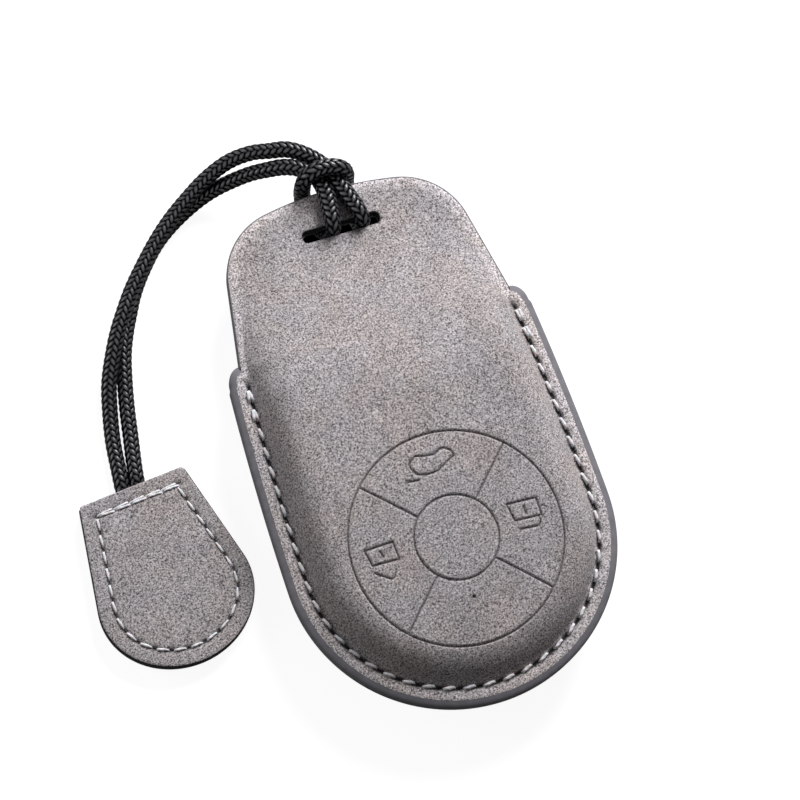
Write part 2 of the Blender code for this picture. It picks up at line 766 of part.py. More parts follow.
def plate(name, outline, low, high, material):
    bm = bmesh.new()
    bottom = [bm.verts.new((point.x, point.y, low)) for point in outline]
    top = [bm.verts.new((point.x, point.y, high)) for point in outline]
    bm.faces.new(bottom)
    bm.faces.new(top)
    for i in range(len(outline)):
        j = (i + 1) % len(outline)
        bm.faces.new((bottom[i], bottom[j], top[j], top[i]))
    return add_object(name, bm, material, smooth=False)


def whole_stitches(line):
    """Points at the needle holes of a line and halfway between them."""
    length = sum((b - a).length for a, b in zip(line, line[1:]))
    return spread(line, count=2 * round(length / TAG_STITCH_PITCH))


def tag_seam(name, side, surface, depth, rise, leather_sheet, thread):
    """One row of stitches round the tag, in a groove of its sheet."""
    loop = tag_outline(TAG_STITCH_INSET, 0)
    half = TAG_GROOVE_WIDTH / 2
    low, high = surface - side * depth, surface + side * OVERRUN
    section = ((-half, low), (half, low), (half, high), (-half, high))
    groove = sweep(name + "_groove_cutter", loop, section, None, closed=True, smooth=False)
    cut(leather_sheet, as_cutter(groove))
    path = whole_stitches(loop)[:-1] + whole_stitches([loop[-1], loop[0]])[:-1]
    points = stitched_points(path, low, side, TAG_THREAD_DIAMETER, rise)
    row = tube(name, points, TAG_THREAD_DIAMETER / 2, thread, resolution=1, cyclic=True)
    return row, groove


def build_tag(leather, board, paint, thread, cord):
    """The tag's two leather sheets, its core, its stitches, its edge paint and the sewn cord ends."""
    inset = TAG_COAT + TAG_COAT_GAP
    sheet = tag_outline(inset)
    core_low = TAG_LEATHER + TAG_LAYER_GAP
    core_high = core_low + TAG_CORE
    front_low = TAG_THICKNESS - TAG_LEATHER
    front = plate("tag_front", sheet, front_low, TAG_THICKNESS, leather)
    back = plate("tag_back", sheet, 0, TAG_LEATHER, leather)
    core = plate("tag_core", tag_outline(inset), core_low, core_high, board)
    notch = notch_cutter(core_low, core_high)
    cut(core, notch)
    front_row, front_groove = tag_seam(
        "tag_front_thread", 1, TAG_THICKNESS, TAG_GROOVE_DEPTH, THREAD_RISE, front, thread
    )
    back_row, back_groove = tag_seam("tag_back_thread", -1, 0, TAG_BACK_GROOVE_DEPTH, 0, back, thread)
    ends = [cord_end(side, word, core_low, core_high, cord) for side, word in ((-1, "outer"), (1, "inner"))]
    coat = tag_coat(paint)
    hinge = bpy.data.objects.new("tag_hinge", None)
    bpy.context.scene.collection.objects.link(hinge)
    hinge.location = TAG_PIVOT
    hinge.rotation_euler = (0, 0, TAG_TURN)
    pieces = [front, back, core, front_row, back_row, coat] + ends
    for obj in pieces + [notch, front_groove, back_groove]:
        obj.parent = hinge
        obj.location = (0, 0, -TAG_PIVOT.z)
    return pieces


def notch_cutter(low, high):
    """Room in the core for the flattened ends of the cord."""
    half = CORD_END_PITCH / 2 + CORD_END_WIDTH / 2 + CORE_NOTCH_GAP
    depth = CORD_END_LENGTH + 2 * CORE_NOTCH_GAP + TAG_COAT
    corners = ((-half, OVERRUN), (-half, -depth), (half, -depth), (half, OVERRUN))
    outline = [Vector(corner) for corner in corners]
    return as_cutter(plate("core_notch_cutter", outline, low - OVERRUN, high + OVERRUN, None))


def cord_end(side, word, low, high, cord):
    """A flattened end of the cord, sewn between the tag's sheets."""
    middle = side * CORD_END_PITCH / 2
    half = CORD_END_WIDTH / 2
    start = -TAG_COAT
    corners = (
        (middle - half, start),
        (middle - half, start - CORD_END_LENGTH),
        (middle + half, start - CORD_END_LENGTH),
        (middle + half, start),
    )
    outline = [Vector(corner) for corner in corners]
    obj = plate(f"cord_end_{word}", outline, low, high, cord)
    bevel = obj.modifiers.new("round", "BEVEL")
    bevel.width = TAG_CORE / 4
    bevel.segments = 2
    return obj


def tag_coat(paint):
    """Black edge paint round the tag's sides and round end."""
    outline = tag_outline(0)[1:-1]
    low, high = TAG_COAT_SETBACK, TAG_THICKNESS - TAG_COAT_SETBACK
    bulge = TAG_COAT / 3
    section = ((bulge, low), (0, low + TAG_COAT), (0, high - TAG_COAT), (bulge, high))
    section += ((TAG_COAT, high), (TAG_COAT, low))
    return sweep("tag_edge_coat", outline, section, paint, smooth=False)


# Cord


def hitch_shares(points):
    """How far the cord is squeezed at each point: most in the slot, a little in the knot."""
    shares = []
    for point in points:
        in_slot = 1 - smooth_step((abs(point.y - SLOT_Y) - SLOT_HEIGHT / 4) / SLOT_HEIGHT)
        in_knot = 1 - smooth_step((point.y - TONGUE_TOP_Y - 2 * CORD_DIAMETER) / CORD_DIAMETER)
        share = blend(1, KNOT_SQUEEZE_SHARE, in_knot)
        shares.append(blend(share, SLOT_SQUEEZE_SHARE, in_slot))
    return shares


def build_cord(cord):
    radius = CORD_DIAMETER / 2
    knot = smooth_curve(HITCH_ROUTE, KNOT_STEP)
    shares = hitch_shares(knot)
    hitch = tube("cord_hitch", knot, radius, cord, shares=shares)
    gap = least_gap(knot, [radius * share for share in shares], 3 * CORD_DIAMETER)
    print(f"cord_hitch: least gap to itself {gap / MM:.2f} mm")
    strands = []
    for name, route in (("cord_strand_outer", OUTER_ROUTE), ("cord_strand_inner", INNER_ROUTE)):
        points = smooth_curve(route, STRAND_STEP)
        strands.append(tube(name, points, radius, cord))
        length = sum((b - a).length for a, b in zip(points, points[1:]))
        print(f"{name}: length {length / MM:.1f} mm")
    return hitch, strands


def hang_on(pivot_name, place, pieces):
    """Parents the pieces to an empty on their joint's axis, leaving them where they are."""
    pivot = bpy.data.objects.new(pivot_name, None)
    bpy.context.scene.collection.objects.link(pivot)
    pivot.location = place
    for obj in pieces:
        obj.parent = pivot
        obj.matrix_parent_inverse = Matrix.Translation(place).inverted()


def main():
    clear_scene()
    leather = principled("grey_suede_leather", (0.3, 0.28, 0.275), 0.85)
    lining = principled("dark_microfibre", (0.05, 0.05, 0.052), 0.95)
    paint = principled("grey_edge_paint", (0.2, 0.2, 0.205), 0.45)
    black_paint = principled("black_edge_paint", (0.01, 0.01, 0.01), 0.4)
    board = principled("grey_bonded_board", (0.14, 0.13, 0.12), 0.9)
    thread = principled("white_sewing_thread", (0.72, 0.7, 0.72), 0.6)
    cord = principled("black_waxed_cord", (0.012, 0.012, 0.014), 0.5)
    build_pouch(leather, lining, paint, thread)
    build_tag(leather, board, black_paint, thread, cord)
    hitch, strands = build_cord(cord)
    hang_on("hitch_slide_origin", Vector((0, SLOT_Y, PARTING_Z)), [hitch])
    hang_on("cord_swing_axis", SWING_PIVOT, strands)


main()
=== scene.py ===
"""Car key pouch: nubuck leather halves, painted edges, lockstitch seams, a braided cord in a cow hitch and a tag.

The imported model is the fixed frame. Each operator below builds one group of pieces over it, in metres.
The pouch lies on its back on z = 0, its mouth points to +Y and its front faces +Z.
"""

import math

import bpy
import numpy as np
from bpy.props import FloatProperty, FloatVectorProperty, IntProperty, PointerProperty
from mathutils import Matrix, Vector
from mathutils.geometry import delaunay_2d_cdt
from mathutils.kdtree import KDTree


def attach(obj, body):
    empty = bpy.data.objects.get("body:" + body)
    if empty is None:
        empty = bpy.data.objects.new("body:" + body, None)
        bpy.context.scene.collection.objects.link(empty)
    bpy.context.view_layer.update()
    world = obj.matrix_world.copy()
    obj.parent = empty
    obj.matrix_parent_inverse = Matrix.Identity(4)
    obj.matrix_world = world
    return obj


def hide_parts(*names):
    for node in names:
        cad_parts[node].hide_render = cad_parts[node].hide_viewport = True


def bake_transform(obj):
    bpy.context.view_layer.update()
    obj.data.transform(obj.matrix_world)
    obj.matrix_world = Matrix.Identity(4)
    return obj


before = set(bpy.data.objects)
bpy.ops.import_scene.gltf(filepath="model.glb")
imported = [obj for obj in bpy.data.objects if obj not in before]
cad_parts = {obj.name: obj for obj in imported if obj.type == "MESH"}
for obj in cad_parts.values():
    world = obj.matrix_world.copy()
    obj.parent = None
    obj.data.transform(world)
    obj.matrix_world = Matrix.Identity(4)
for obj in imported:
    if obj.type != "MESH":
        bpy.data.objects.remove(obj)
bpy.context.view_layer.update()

bl_info = {
    "name": "Car key pouch",
    "version": (1, 0, 0),
    "blender": (4, 5, 0),
    "location": "3D View > Sidebar > Key pouch",
    "description": "Builds a leather car key pouch with its cord and tag",
    "category": "Add Mesh",
}

MM = 0.001
DEGREE = math.pi / 180

# Heights: the halves meet in the parting plane, and each has a flat flange round its dome
PARTING_Z = 8.5 * MM
FLANGE_HALF = 1.7 * MM
FRONT_RISE = 5.3 * MM
BACK_RISE = 6.8 * MM
LEATHER = 0.8 * MM
LINING_DEPTHS = (1.05 * MM, 1.55 * MM)

# Outline of the pouch
FLANGE_HALF_WIDTH = 29.9 * MM
ROUND_END_DEPTH = 29.4 * MM
SIDE_BOW = 1.6 * MM
SHOULDER_Y = 41.3 * MM
SHOULDER_HALF_WIDTH = FLANGE_HALF_WIDTH - SIDE_BOW
SHOULDER_LEDGE = 2.7 * MM
SHOULDER_ROUND = 3.4 * MM
TONGUE_FOOT_HALF_WIDTH = SHOULDER_HALF_WIDTH - SHOULDER_LEDGE
TONGUE_TAPER = 10.2 * DEGREE
TONGUE_CORNER_RADIUS = 13.0 * MM
TONGUE_TOP_RADIUS = 67.0 * MM
TONGUE_TOP_Y = 68.1 * MM

# Dome
DOME_FOOT_INSET = 4.1 * MM
DOME_WIDTH = 6.2 * MM
TONGUE_LIP = 1.2 * MM
TONGUE_DOME_WIDTH = 10.0 * MM
DOME_ROUNDNESS = 2.2
DOME_STEEPNESS = 0.75
DOME_FOOT_SOFTNESS = 0.045
CROWN_START_Y = 28.0 * MM
CROWN_END_Y = 59.0 * MM
ARCH_START_Y = 14.0 * MM
ARCH_SHARE = 0.5

# Width of the edge paint seen from above, round the sewn edge and round the mouth
PAINT_RIM = 1.3 * MM
MOUTH_PAINT_RIM = 0.3 * MM

# Slot
SLOT_Y = 60.5 * MM
SLOT_LENGTH = 14.7 * MM
SLOT_HEIGHT = 2.25 * MM
SLOT_CORNER = 0.9 * MM

# Button face pressed into the front
PAD_RADIUS = 19.0 * MM
PAD_CENTRE_RADIUS = 7.5 * MM
PAD_SPOKES = (45, 135, 225, 315)
PAD_SHIFT = (0.29 * MM, -0.51 * MM)

# Generic signs on the buttons, in millimetres: boot lid, locked and unlocked padlock
SIGNS = (
    (
        (-3.51, 14.28), (-2.05, 15.25), (-0.37, 14.78), (1.4, 14.59), (2.48, 15.25), (3.32, 15.22), (4.31, 14.39),
        (4.63, 13.43), (3.0, 12.65), (0.93, 11.59), (-1.08, 11.51), (-2.73, 12.03), (-3.44, 13.26), (-3.51, 14.28),
    ),
    ((-4.43, 11.2), (-3.77, 11.08), (-2.66, 11.01)),
    ((10.56, 2.26), (15.85, 1.92), (15.85, -1.27), (10.99, -0.92), (10.56, 2.26)),
    ((13.28, 1.11), (13.25, -0.16)),
    ((11.53, -2.6), (14.82, -2.94), (15.39, -1.98), (15.4, -1.3)),
    ((-15.83, 1.99), (-10.64, 2.08), (-10.53, -1.11), (-15.37, -0.91), (-15.83, 1.99)),
    ((-13.32, 1.19), (-13.02, 0.02)),
    ((-15.22, -2.35), (-12.76, -4.12), (-12.2, -3.7), (-11.87, -3.15)),
)
LAMP_DOT = (-0.19 * MM, -11.24 * MM)

# Seam
STITCH_INSET = 3.4 * MM
STITCH_PITCH = 3.6 * MM
SEAM_TOP_Y = 37.2 * MM

# Marks in the leather: how deep each bends it, and how far it reaches to the side
SEAM_GROOVE = (0.1 * MM, 0.42 * MM)
SLOT_BEND = (0.16 * MM, 0.18 * MM)
EDGE_BEND = (0.16 * MM, 0.34 * MM)
HOLE_DEPTH = 0.6 * MM
HOLE_REACH = (0.98 * MM, 0.34 * MM)
LAMP_DOT_RADIUS = 0.5 * MM
# A pressed line has a raised lip on both sides: its share of the line's depth, its place and its reach
PRESSED_LIP = (0.4, 0.47 * MM, 0.15 * MM)

# Painted shade in each mark and how far it reaches, painted light towards the edge, and the limits of both
LINE_SHADE = (0.72, 0.15 * MM)
DOT_SHADE = (1, 0.4 * MM)
SLOT_SHADE = (0.8, 0.14 * MM)
SEAM_SHADE = 0.25
HOLE_SHADE = 1.7
EDGE_PAINTED_LIGHT = (0.5, 1.8 * MM)
PAINTED_SHADING_LIMITS = (-0.6, 1)

# The least distance between two points of a sheet's face
POINT_GAP = 0.1 * MM

# Tag, in its own frame: its origin is the middle of its top edge, on the surface it lies on. Its groove is
# how deep the seam pulls its leather in, and how far that reaches
TAG_TURN = 4.7 * DEGREE
TAG_PLACE = (-49.85 * MM, 27.771 * MM)
TAG_TOP_HALF_WIDTH = 9.9 * MM
TAG_ROUND_HALF_WIDTH = 14.0 * MM
TAG_ROUND_DEPTH = 12.6 * MM
TAG_ROUND_CENTRE_DEPTH = 21.1 * MM
TAG_THICKNESS = 3.4 * MM
TAG_STITCH_INSET = 2.9 * MM
TAG_STITCH_PITCH = 3.1 * MM
TAG_CORNER = 0.7 * MM
TAG_EDGE_ROUND = 0.24 * MM
TAG_GROOVE = (0.13 * MM, 0.5 * MM)
TAG_HOLE_DEPTH = 0.35 * MM
TAG_STEP = 0.3 * MM

# Cord, in millimetres: the routes of the free strands and of the hitch
OUTER_ROUTE = (
    (-7.78, 78.25, 9.69), (-11.2, 79.2, 8.6), (-15.4, 79.2, 7.2), (-20.0, 77.7, 5.9), (-24.3, 75.3, 5.0),
    (-28.4, 72.5, 4.6), (-32.1, 69.3, 4.5), (-35.8, 65.5, 4.5), (-38.9, 62.0, 4.5), (-41.4, 58.6, 4.5),
    (-43.7, 55.2, 4.2), (-45.9, 51.2, 3.6), (-47.9, 46.8, 2.6), (-49.25, 41.9, 1.7), (-50.3, 36.8, 1.4),
    (-50.85, 32.0, 1.6), (-51.25, 27.97, 1.7),
)
INNER_ROUTE = (
    (-8.77, 75.2, 8.69), (-12.1, 76.0, 6.8), (-16.1, 76.2, 4.8), (-19.8, 75.9, 3.1), (-24.0, 74.6, 1.9),
    (-28.6, 72.2, 1.45), (-32.3, 69.4, 1.4), (-35.9, 65.5, 1.4), (-38.5, 62.0, 1.4), (-40.4, 58.6, 1.4),
    (-42.1, 55.3, 1.4), (-43.7, 51.4, 1.4), (-45.0, 46.7, 1.4), (-46.15, 41.6, 1.4), (-47.1, 36.4, 1.4),
    (-47.95, 31.9, 1.6), (-48.5, 28.17, 1.7),
)
HITCH_ROUTE = (
    (-7.4, 78.1, 9.8), (-4.9, 77.4, 10.4), (-2.3, 75.7, 10.7), (0.0, 73.3, 10.8), (1.4, 70.9, 11.0),
    (1.9, 68.6, 11.5), (2.6, 66.0, 11.75), (3.3, 63.6, 11.8), (3.8, 61.8, 11.8), (4.0, 60.5, 10.8),
    (4.1, 60.45, 8.5), (4.15, 60.5, 6.2), (4.15, 61.8, 5.0), (4.1, 63.9, 5.0), (4.1, 66.4, 5.0),
    (4.1, 68.5, 5.55), (4.1, 69.5, 7.2), (4.05, 69.65, 9.0), (3.95, 69.8, 11.0), (3.4, 70.1, 12.8),
    (2.3, 70.5, 13.8), (0.9, 70.85, 14.0), (-0.9, 70.95, 14.0), (-2.5, 70.75, 13.7), (-3.7, 70.35, 12.7),
    (-4.25, 69.85, 11.0), (-4.35, 69.6, 9.0), (-4.3, 69.5, 7.2), (-4.2, 68.5, 5.55), (-3.85, 66.4, 5.0),
    (-3.2, 63.9, 5.0), (-2.4, 61.8, 5.0), (-1.9, 60.5, 6.2), (-1.6, 60.45, 8.5), (-1.5, 60.5, 10.8),
    (-1.4, 61.8, 11.8), (-1.15, 63.6, 11.8), (-0.9, 66.0, 11.75), (-0.9, 68.4, 11.5), (-1.65, 70.6, 11.0),
    (-3.0, 72.4, 10.8), (-4.7, 73.7, 10.4), (-6.6, 74.6, 9.7), (-8.4, 75.1, 8.9),
)

# Braid: distance between two rings, points round a ring, and the rise of a carrier's back and of its weave
CORD_STEP = 0.16 * MM
BRAID_AROUND = 64
BRAID_HUMP = 0.13 * MM
BRAID_WEAVE = 0.08 * MM

# Camera, fitted to the photograph's outlines
CAMERA_PLACE = (-80.78 * MM, -68.90 * MM, 451.94 * MM)
CAMERA_RIGHT = (0.94114, -0.32235, 0.10166)
CAMERA_DOWN = (-0.28897, -0.92338, -0.25273)
CAMERA_FORWARD = (0.17534, 0.20848, -0.96218)


def linear(code):
    """An sRGB hex colour as linear red, green and blue."""
    found = []
    for at in (1, 3, 5):
        value = int(code[at : at + 2], 16) / 255
        found.append(value / 12.92 if value <= 0.04045 else ((value + 0.055) / 1.055) ** 2.4)
    return tuple(found)


# Settings that a user would change

LENGTH = {"unit": "LENGTH", "min": 0}
COLOUR = {"subtype": "COLOR", "size": 3, "min": 0, "max": 1}


class PouchSettings(bpy.types.PropertyGroup):
    warm_colour: FloatVectorProperty(
        name="Warm leather", description="Colour of the nubuck's warmer patches", default=linear("#a79f9f"), **COLOUR
    )
    cool_colour: FloatVectorProperty(
        name="Cool leather", description="Colour of the nubuck's cooler patches", default=linear("#a5a0a3"), **COLOUR
    )
    nap_size: FloatProperty(name="Nap size", description="Width of one fleck of the nap", default=0.28 * MM, **LENGTH)
    nap_depth: FloatProperty(name="Nap depth", description="Height of the nap", default=0.07 * MM, **LENGTH)
    pressed_width: FloatProperty(
        name="Pressed line width", description="Width of the pressed button outlines", default=0.64 * MM, **LENGTH
    )
    pressed_depth: FloatProperty(
        name="Pressed line depth", description="Depth of the pressed button outlines", default=0.34 * MM, **LENGTH
    )
    paint_colour: FloatVectorProperty(
        name="Edge paint", description="Colour of the pouch's painted edges", default=linear("#7f7d83"), **COLOUR
    )


class SeamSettings(bpy.types.PropertyGroup):
    thread_colour: FloatVectorProperty(
        name="Thread", description="Colour of the sewing thread", default=linear("#f3f1f5"), **COLOUR
    )
    thread_diameter: FloatProperty(
        name="Thread diameter", description="Thickness of the sewing thread", default=0.58 * MM, **LENGTH
    )
    stitch_length: FloatProperty(
        name="Stitch length", description="Length of thread that shows between two holes", default=2.35 * MM, **LENGTH
    )
    slant: FloatProperty(
        name="Slant", description="Angle of each stitch to the seam", unit="ROTATION", default=9 * DEGREE
    )


class CordSettings(bpy.types.PropertyGroup):
    colour: FloatVectorProperty(
        name="Cord", description="Colour of the waxed cord", default=linear("#26262b"), **COLOUR
    )
    diameter: FloatProperty(name="Diameter", description="Thickness of the cord", default=2.6 * MM, **LENGTH)
    lay_length: FloatProperty(
        name="Lay length", description="Length of cord in which a carrier goes once round", default=9.6 * MM, **LENGTH
    )
    carriers: IntProperty(
        name="Carriers", description="Carriers that turn one way, a multiple of four", default=8, min=4
    )


class TagSettings(bpy.types.PropertyGroup):
    edge_colour: FloatVectorProperty(
        name="Edge", description="Colour of the tag's black painted edge", default=linear("#101011"), **COLOUR
    )
    puff: FloatProperty(
        name="Puff", description="How far the sewn tag swells in its middle", default=0.18 * MM, **LENGTH
    )


class StageSettings(bpy.types.PropertyGroup):
    lens: FloatProperty(name="Lens", description="Focal length in millimetres", default=116.3, min=1)
    key_power: FloatProperty(
        name="Key lamp", description="Power of the lamp beyond the right shoulder", unit="POWER", default=3.8
    )
    fill_power: FloatProperty(
        name="Fill lamp", description="Power of the lamp beyond the cord", unit="POWER", default=0.16
    )
    sky: FloatProperty(name="Sky", description="Strength of the even light all round", default=0.095, min=0)
    floor_colour: FloatVectorProperty(
        name="Floor", description="Colour of the floor", default=linear("#484848"), **COLOUR
    )


# Materials

NOISE, RANGE, MATH = "ShaderNodeTexNoise", "ShaderNodeMapRange", "ShaderNodeMath"


def add_node(tree, kind, inputs=(), **settings):
    """Adds a node. Its inputs are values, or sockets or nodes to link, of which a node gives its first output in use.

    They come in the order of its sockets, or as a dictionary by the sockets' names or numbers. Those of a
    map range are a value, the lowest and highest that it comes from, and the lowest and highest that it gives.
    """
    made = tree.nodes.new(kind)
    for name, value in settings.items():
        setattr(made, name, value)
    for name, value in inputs.items() if isinstance(inputs, dict) else enumerate(inputs):
        if isinstance(value, bpy.types.Node):
            value = next(socket for socket in value.outputs if socket.enabled)
        if isinstance(value, bpy.types.NodeSocket):
            tree.links.new(value, made.inputs[name])
        else:
            made.inputs[name].default_value = value
    return made


def material_of(build):
    """The material named for build, made on first use by build(tree), which returns its shader."""
    material = bpy.data.materials.get(build.__name__)
    if material is None:
        material = bpy.data.materials.new(build.__name__)
        material.use_nodes = True
        tree = material.node_tree
        tree.nodes.clear()
        add_node(tree, "ShaderNodeOutputMaterial", {"Surface": build(tree)})
    return material


def object_place(tree):
    return add_node(tree, "ShaderNodeTexCoord").outputs["Object"]


def bumped_shader(tree, colour, tone, height, depth, strength, levels):
    """The shader of a surface: its colour times its tone, bumped by its height, with its other levels."""
    base = add_node(tree, "ShaderNodeVectorMath", {0: colour, "Scale": tone}, operation="SCALE")
    bump = add_node(tree, "ShaderNodeBump", {"Height": height, "Distance": depth, "Strength": strength})
    return add_node(tree, "ShaderNodeBsdfPrincipled", {"Base Color": base, "Normal": bump, **levels})


def nubuck_leather(tree):
    # Nubuck: cowhide sanded on its grain side and dyed through. The short nap scatters light, so it is
    # matt with a faint bloom, flecked light and dark at 0.3 mm, and clouded warm and cool where it was
    # stroked. Pressed lines and needle holes flatten the nap; they, the seam and the slot's rim are darkened
    # with painted shade, and the leather is painted lighter towards its cut edge, a painted highlight.
    settings = bpy.context.scene.pouch_leather
    place = object_place(tree)
    fleck = add_node(
        tree, NOISE,
        {"Vector": place, "Scale": 1 / settings.nap_size, "Detail": 2.0, "Roughness": 0.62, "Distortion": 0.6},
    )
    patch = add_node(tree, NOISE, {"Vector": place, "Scale": 1 / (11 * MM), "Detail": 2.5, "Roughness": 0.55})
    cloud = add_node(
        tree, NOISE, {"Vector": place, "Scale": 1 / (7.0 * MM), "Detail": 3.0, "Roughness": 0.55, "Distortion": 0.4}
    )
    warm = add_node(tree, RANGE, (patch, 0.38, 0.62), interpolation_type="SMOOTHSTEP")
    # The sockets of a mix have the same names for each type, so they are set by number
    colour = add_node(
        tree, "ShaderNodeMix", {0: warm, 6: (*settings.cool_colour, 1), 7: (*settings.warm_colour, 1)}, data_type="RGBA"
    )
    # Painted shade and painted light: this point value darkens the colour in marks and lightens it at the cut edge
    painted_shading = add_node(tree, "ShaderNodeAttribute", attribute_name="painted_shading").outputs["Fac"]
    tone = add_node(tree, RANGE, (fleck, 0.35, 0.65, 0.16, 1.88))
    for part in ((cloud, 0.3, 0.7, 0.9, 1.1), (painted_shading, *PAINTED_SHADING_LIMITS, 1.56, 0.06)):
        tone = add_node(tree, MATH, (tone, add_node(tree, RANGE, part)), operation="MULTIPLY")
    levels = {
        "Roughness": add_node(tree, RANGE, (cloud, 0, 1, 0.78, 0.95)),
        "Specular IOR Level": 0.25, "Sheen Weight": 0.12, "Sheen Roughness": 0.5,
    }
    return bumped_shader(tree, colour, tone, fleck, settings.nap_depth, 0.8, levels)


def painted_edge(tree, colour, roughness, specular):
    # Edge paint: acrylic leather paint laid on in coats and sanded between them. It is a satin, slightly
    # wavy skin with soft streaks along the edge, and small pits where the fibres drink it.
    place = object_place(tree)
    wave = add_node(tree, NOISE, {"Vector": place, "Scale": 1 / (1.6 * MM), "Detail": 3.0, "Roughness": 0.5})
    pits = add_node(tree, NOISE, {"Vector": place, "Scale": 1 / (0.3 * MM), "Detail": 2.0})
    tone = add_node(tree, RANGE, (wave, 0.3, 0.7, 0.88, 1.12))
    uneven = add_node(tree, MATH, (wave, pits), operation="ADD")
    rough = add_node(tree, RANGE, (pits, 0, 1, roughness - 0.06, roughness + 0.1))
    levels = {"Roughness": rough, "Specular IOR Level": specular}
    return bumped_shader(tree, tuple(colour), tone, uneven, 0.03 * MM, 0.5, levels)


def grey_acrylic_paint(tree):
    return painted_edge(tree, bpy.context.scene.pouch_leather.paint_colour, 0.6, 0.12)


def black_acrylic_paint(tree):
    return painted_edge(tree, bpy.context.scene.pouch_tag.edge_colour, 0.55, 0.15)


def microfibre_lining(tree):
    # Microfibre: split polyester fibres needled into a felt and brushed. It is dark and quite matt, with
    # a fine cross-hatch of fibres. They are 0.01 mm thick, drawn as bundles of 0.15 mm.
    fibre = add_node(
        tree, NOISE, {"Vector": object_place(tree), "Scale": 1 / (0.15 * MM), "Detail": 3.0, "Roughness": 0.7}
    )
    tone = add_node(tree, RANGE, (fibre, 0, 1, 0.7, 1.3))
    levels = {"Roughness": 0.95, "Specular IOR Level": 0.15, "Sheen Weight": 0.2}
    return bumped_shader(tree, linear("#2e2d2f"), tone, fibre, 0.04 * MM, 0.7, levels)


def bonded_leather_board(tree):
    # Bonded leather board: ground leather fibres pressed with latex. Its cut side is dull and crumbly,
    # speckled grey and brown.
    crumb = add_node(
        tree, NOISE, {"Vector": object_place(tree), "Scale": 1 / (0.35 * MM), "Detail": 4.0, "Roughness": 0.65}
    )
    tone = add_node(tree, RANGE, (crumb, 0, 1, 0.5, 1.5))
    return bumped_shader(tree, linear("#4d4a48"), tone, crumb, 0.08 * MM, 0.8, {"Roughness": 0.92})


def polyester_thread(tree):
    # Bonded polyester thread, two plies twisted and waxed. It is bright, a little translucent and
    # semi-glossy. Its filaments are 0.02 mm thick, drawn as streaks of 0.09 mm.
    place = object_place(tree)
    ply = add_node(tree, NOISE, {"Vector": place, "Scale": 1 / (0.09 * MM), "Detail": 2.0})
    dirt = add_node(tree, NOISE, {"Vector": place, "Scale": 1 / (1.3 * MM), "Detail": 2.0})
    tone = add_node(tree, RANGE, (dirt, 0.3, 0.7, 0.8, 1.1))
    levels = {"Roughness": 0.42, "Subsurface Weight": 0.15, "Subsurface Scale": 0.3 * MM}
    return bumped_shader(
        tree, tuple(bpy.context.scene.pouch_seams.thread_colour), tone, ply, 0.03 * MM, 0.6, levels
    )


def waxed_cotton_braid(tree):
    # Waxed cotton cord, braided on sixteen carriers and drawn through hot wax. The wax fills the valleys and
    # rubs thin on the raised turns. Its colour is darkened in the valleys as painted shade and lightened on
    # the raised turns as a painted highlight, and only the raised turns reflect light.
    # The fibres run along each turn. They are drawn 0.1 mm wide, because real ones are too fine to show.
    height = add_node(tree, "ShaderNodeAttribute", attribute_name="crest").outputs["Fac"]
    strand = add_node(tree, "ShaderNodeUVMap", uv_map="strand")
    stretched = add_node(tree, "ShaderNodeMapping", {"Vector": strand, "Scale": (10.0, 1.2, 1.0)})
    fibre = add_node(tree, NOISE, {"Vector": stretched, "Scale": 1.0, "Detail": 2.0, "Roughness": 0.6})
    wax = add_node(tree, NOISE, {"Vector": object_place(tree), "Scale": 1 / (1.7 * MM), "Detail": 2.0})
    # Painted shade in the valleys and painted highlight on the raised turns, from the braid's height
    crest = add_node(tree, RANGE, (height, 0.5, 1, 0.02, 1.3), interpolation_type="SMOOTHSTEP")
    streak = add_node(tree, RANGE, (fibre, 0.3, 0.7, 0.6, 1.5))
    tone = add_node(tree, MATH, (crest, streak), operation="MULTIPLY")
    levels = {
        "Roughness": add_node(tree, RANGE, (wax, 0.3, 0.7, 0.26, 0.4)),
        "Specular IOR Level": add_node(tree, RANGE, (height, 0.7, 1, 0, 0.9)),
    }
    return bumped_shader(tree, tuple(bpy.context.scene.pouch_cord.colour), tone, fibre, 0.02 * MM, 0.6, levels)


# Curves and meshes


def blend_of(low, high, share):
    return low + (high - low) * share


def smooth_step(share):
    share = np.clip(share, 0, 1)
    return share * share * (3 - 2 * share)


def bell(away, reach):
    """1 in the middle and close to 0 at twice the reach."""
    return np.exp(-((away / reach) ** 2))


def groove(away, half_width):
    """1 in the middle and 0 from half the width on."""
    return 0.5 + 0.5 * np.cos(math.pi * np.clip(away / half_width, 0, 1))


def unit(vectors):
    """Vectors in rows, each made one long."""
    return vectors / np.linalg.norm(vectors, axis=1)[:, None]


def directions(line):
    """The direction of a line at each of its points."""
    return unit(np.gradient(line, axis=0))


def normals_of(path):
    """Unit normals of a flat path, to the left of its direction."""
    along = directions(path)
    return np.stack([-along[:, 1], along[:, 0]], axis=1)


def lengths_along(line):
    """How far along a line each of its points lies."""
    return np.concatenate([[0], np.cumsum(np.linalg.norm(np.diff(line, axis=0), axis=1))])


def length_of(line):
    return float(np.sum(np.linalg.norm(np.diff(line, axis=0), axis=1)))


def spread(points, step, closed=False):
    """Points at even distances of about one step along a polyline."""
    chain = np.asarray(points, float)
    if closed:
        chain = np.vstack([chain, chain[:1]])
    along = lengths_along(chain)
    wanted = np.linspace(0, along[-1], max(2, round(along[-1] / step)) + 1)
    if closed:
        wanted = wanted[:-1]
    return np.stack([np.interp(wanted, along, column) for column in chain.T], axis=1)


def beside(line, offsets, step):
    """Rows of points beside a line."""
    path = spread(line, step)
    normals = normals_of(path)
    return [path + normals * offset for offset in offsets]


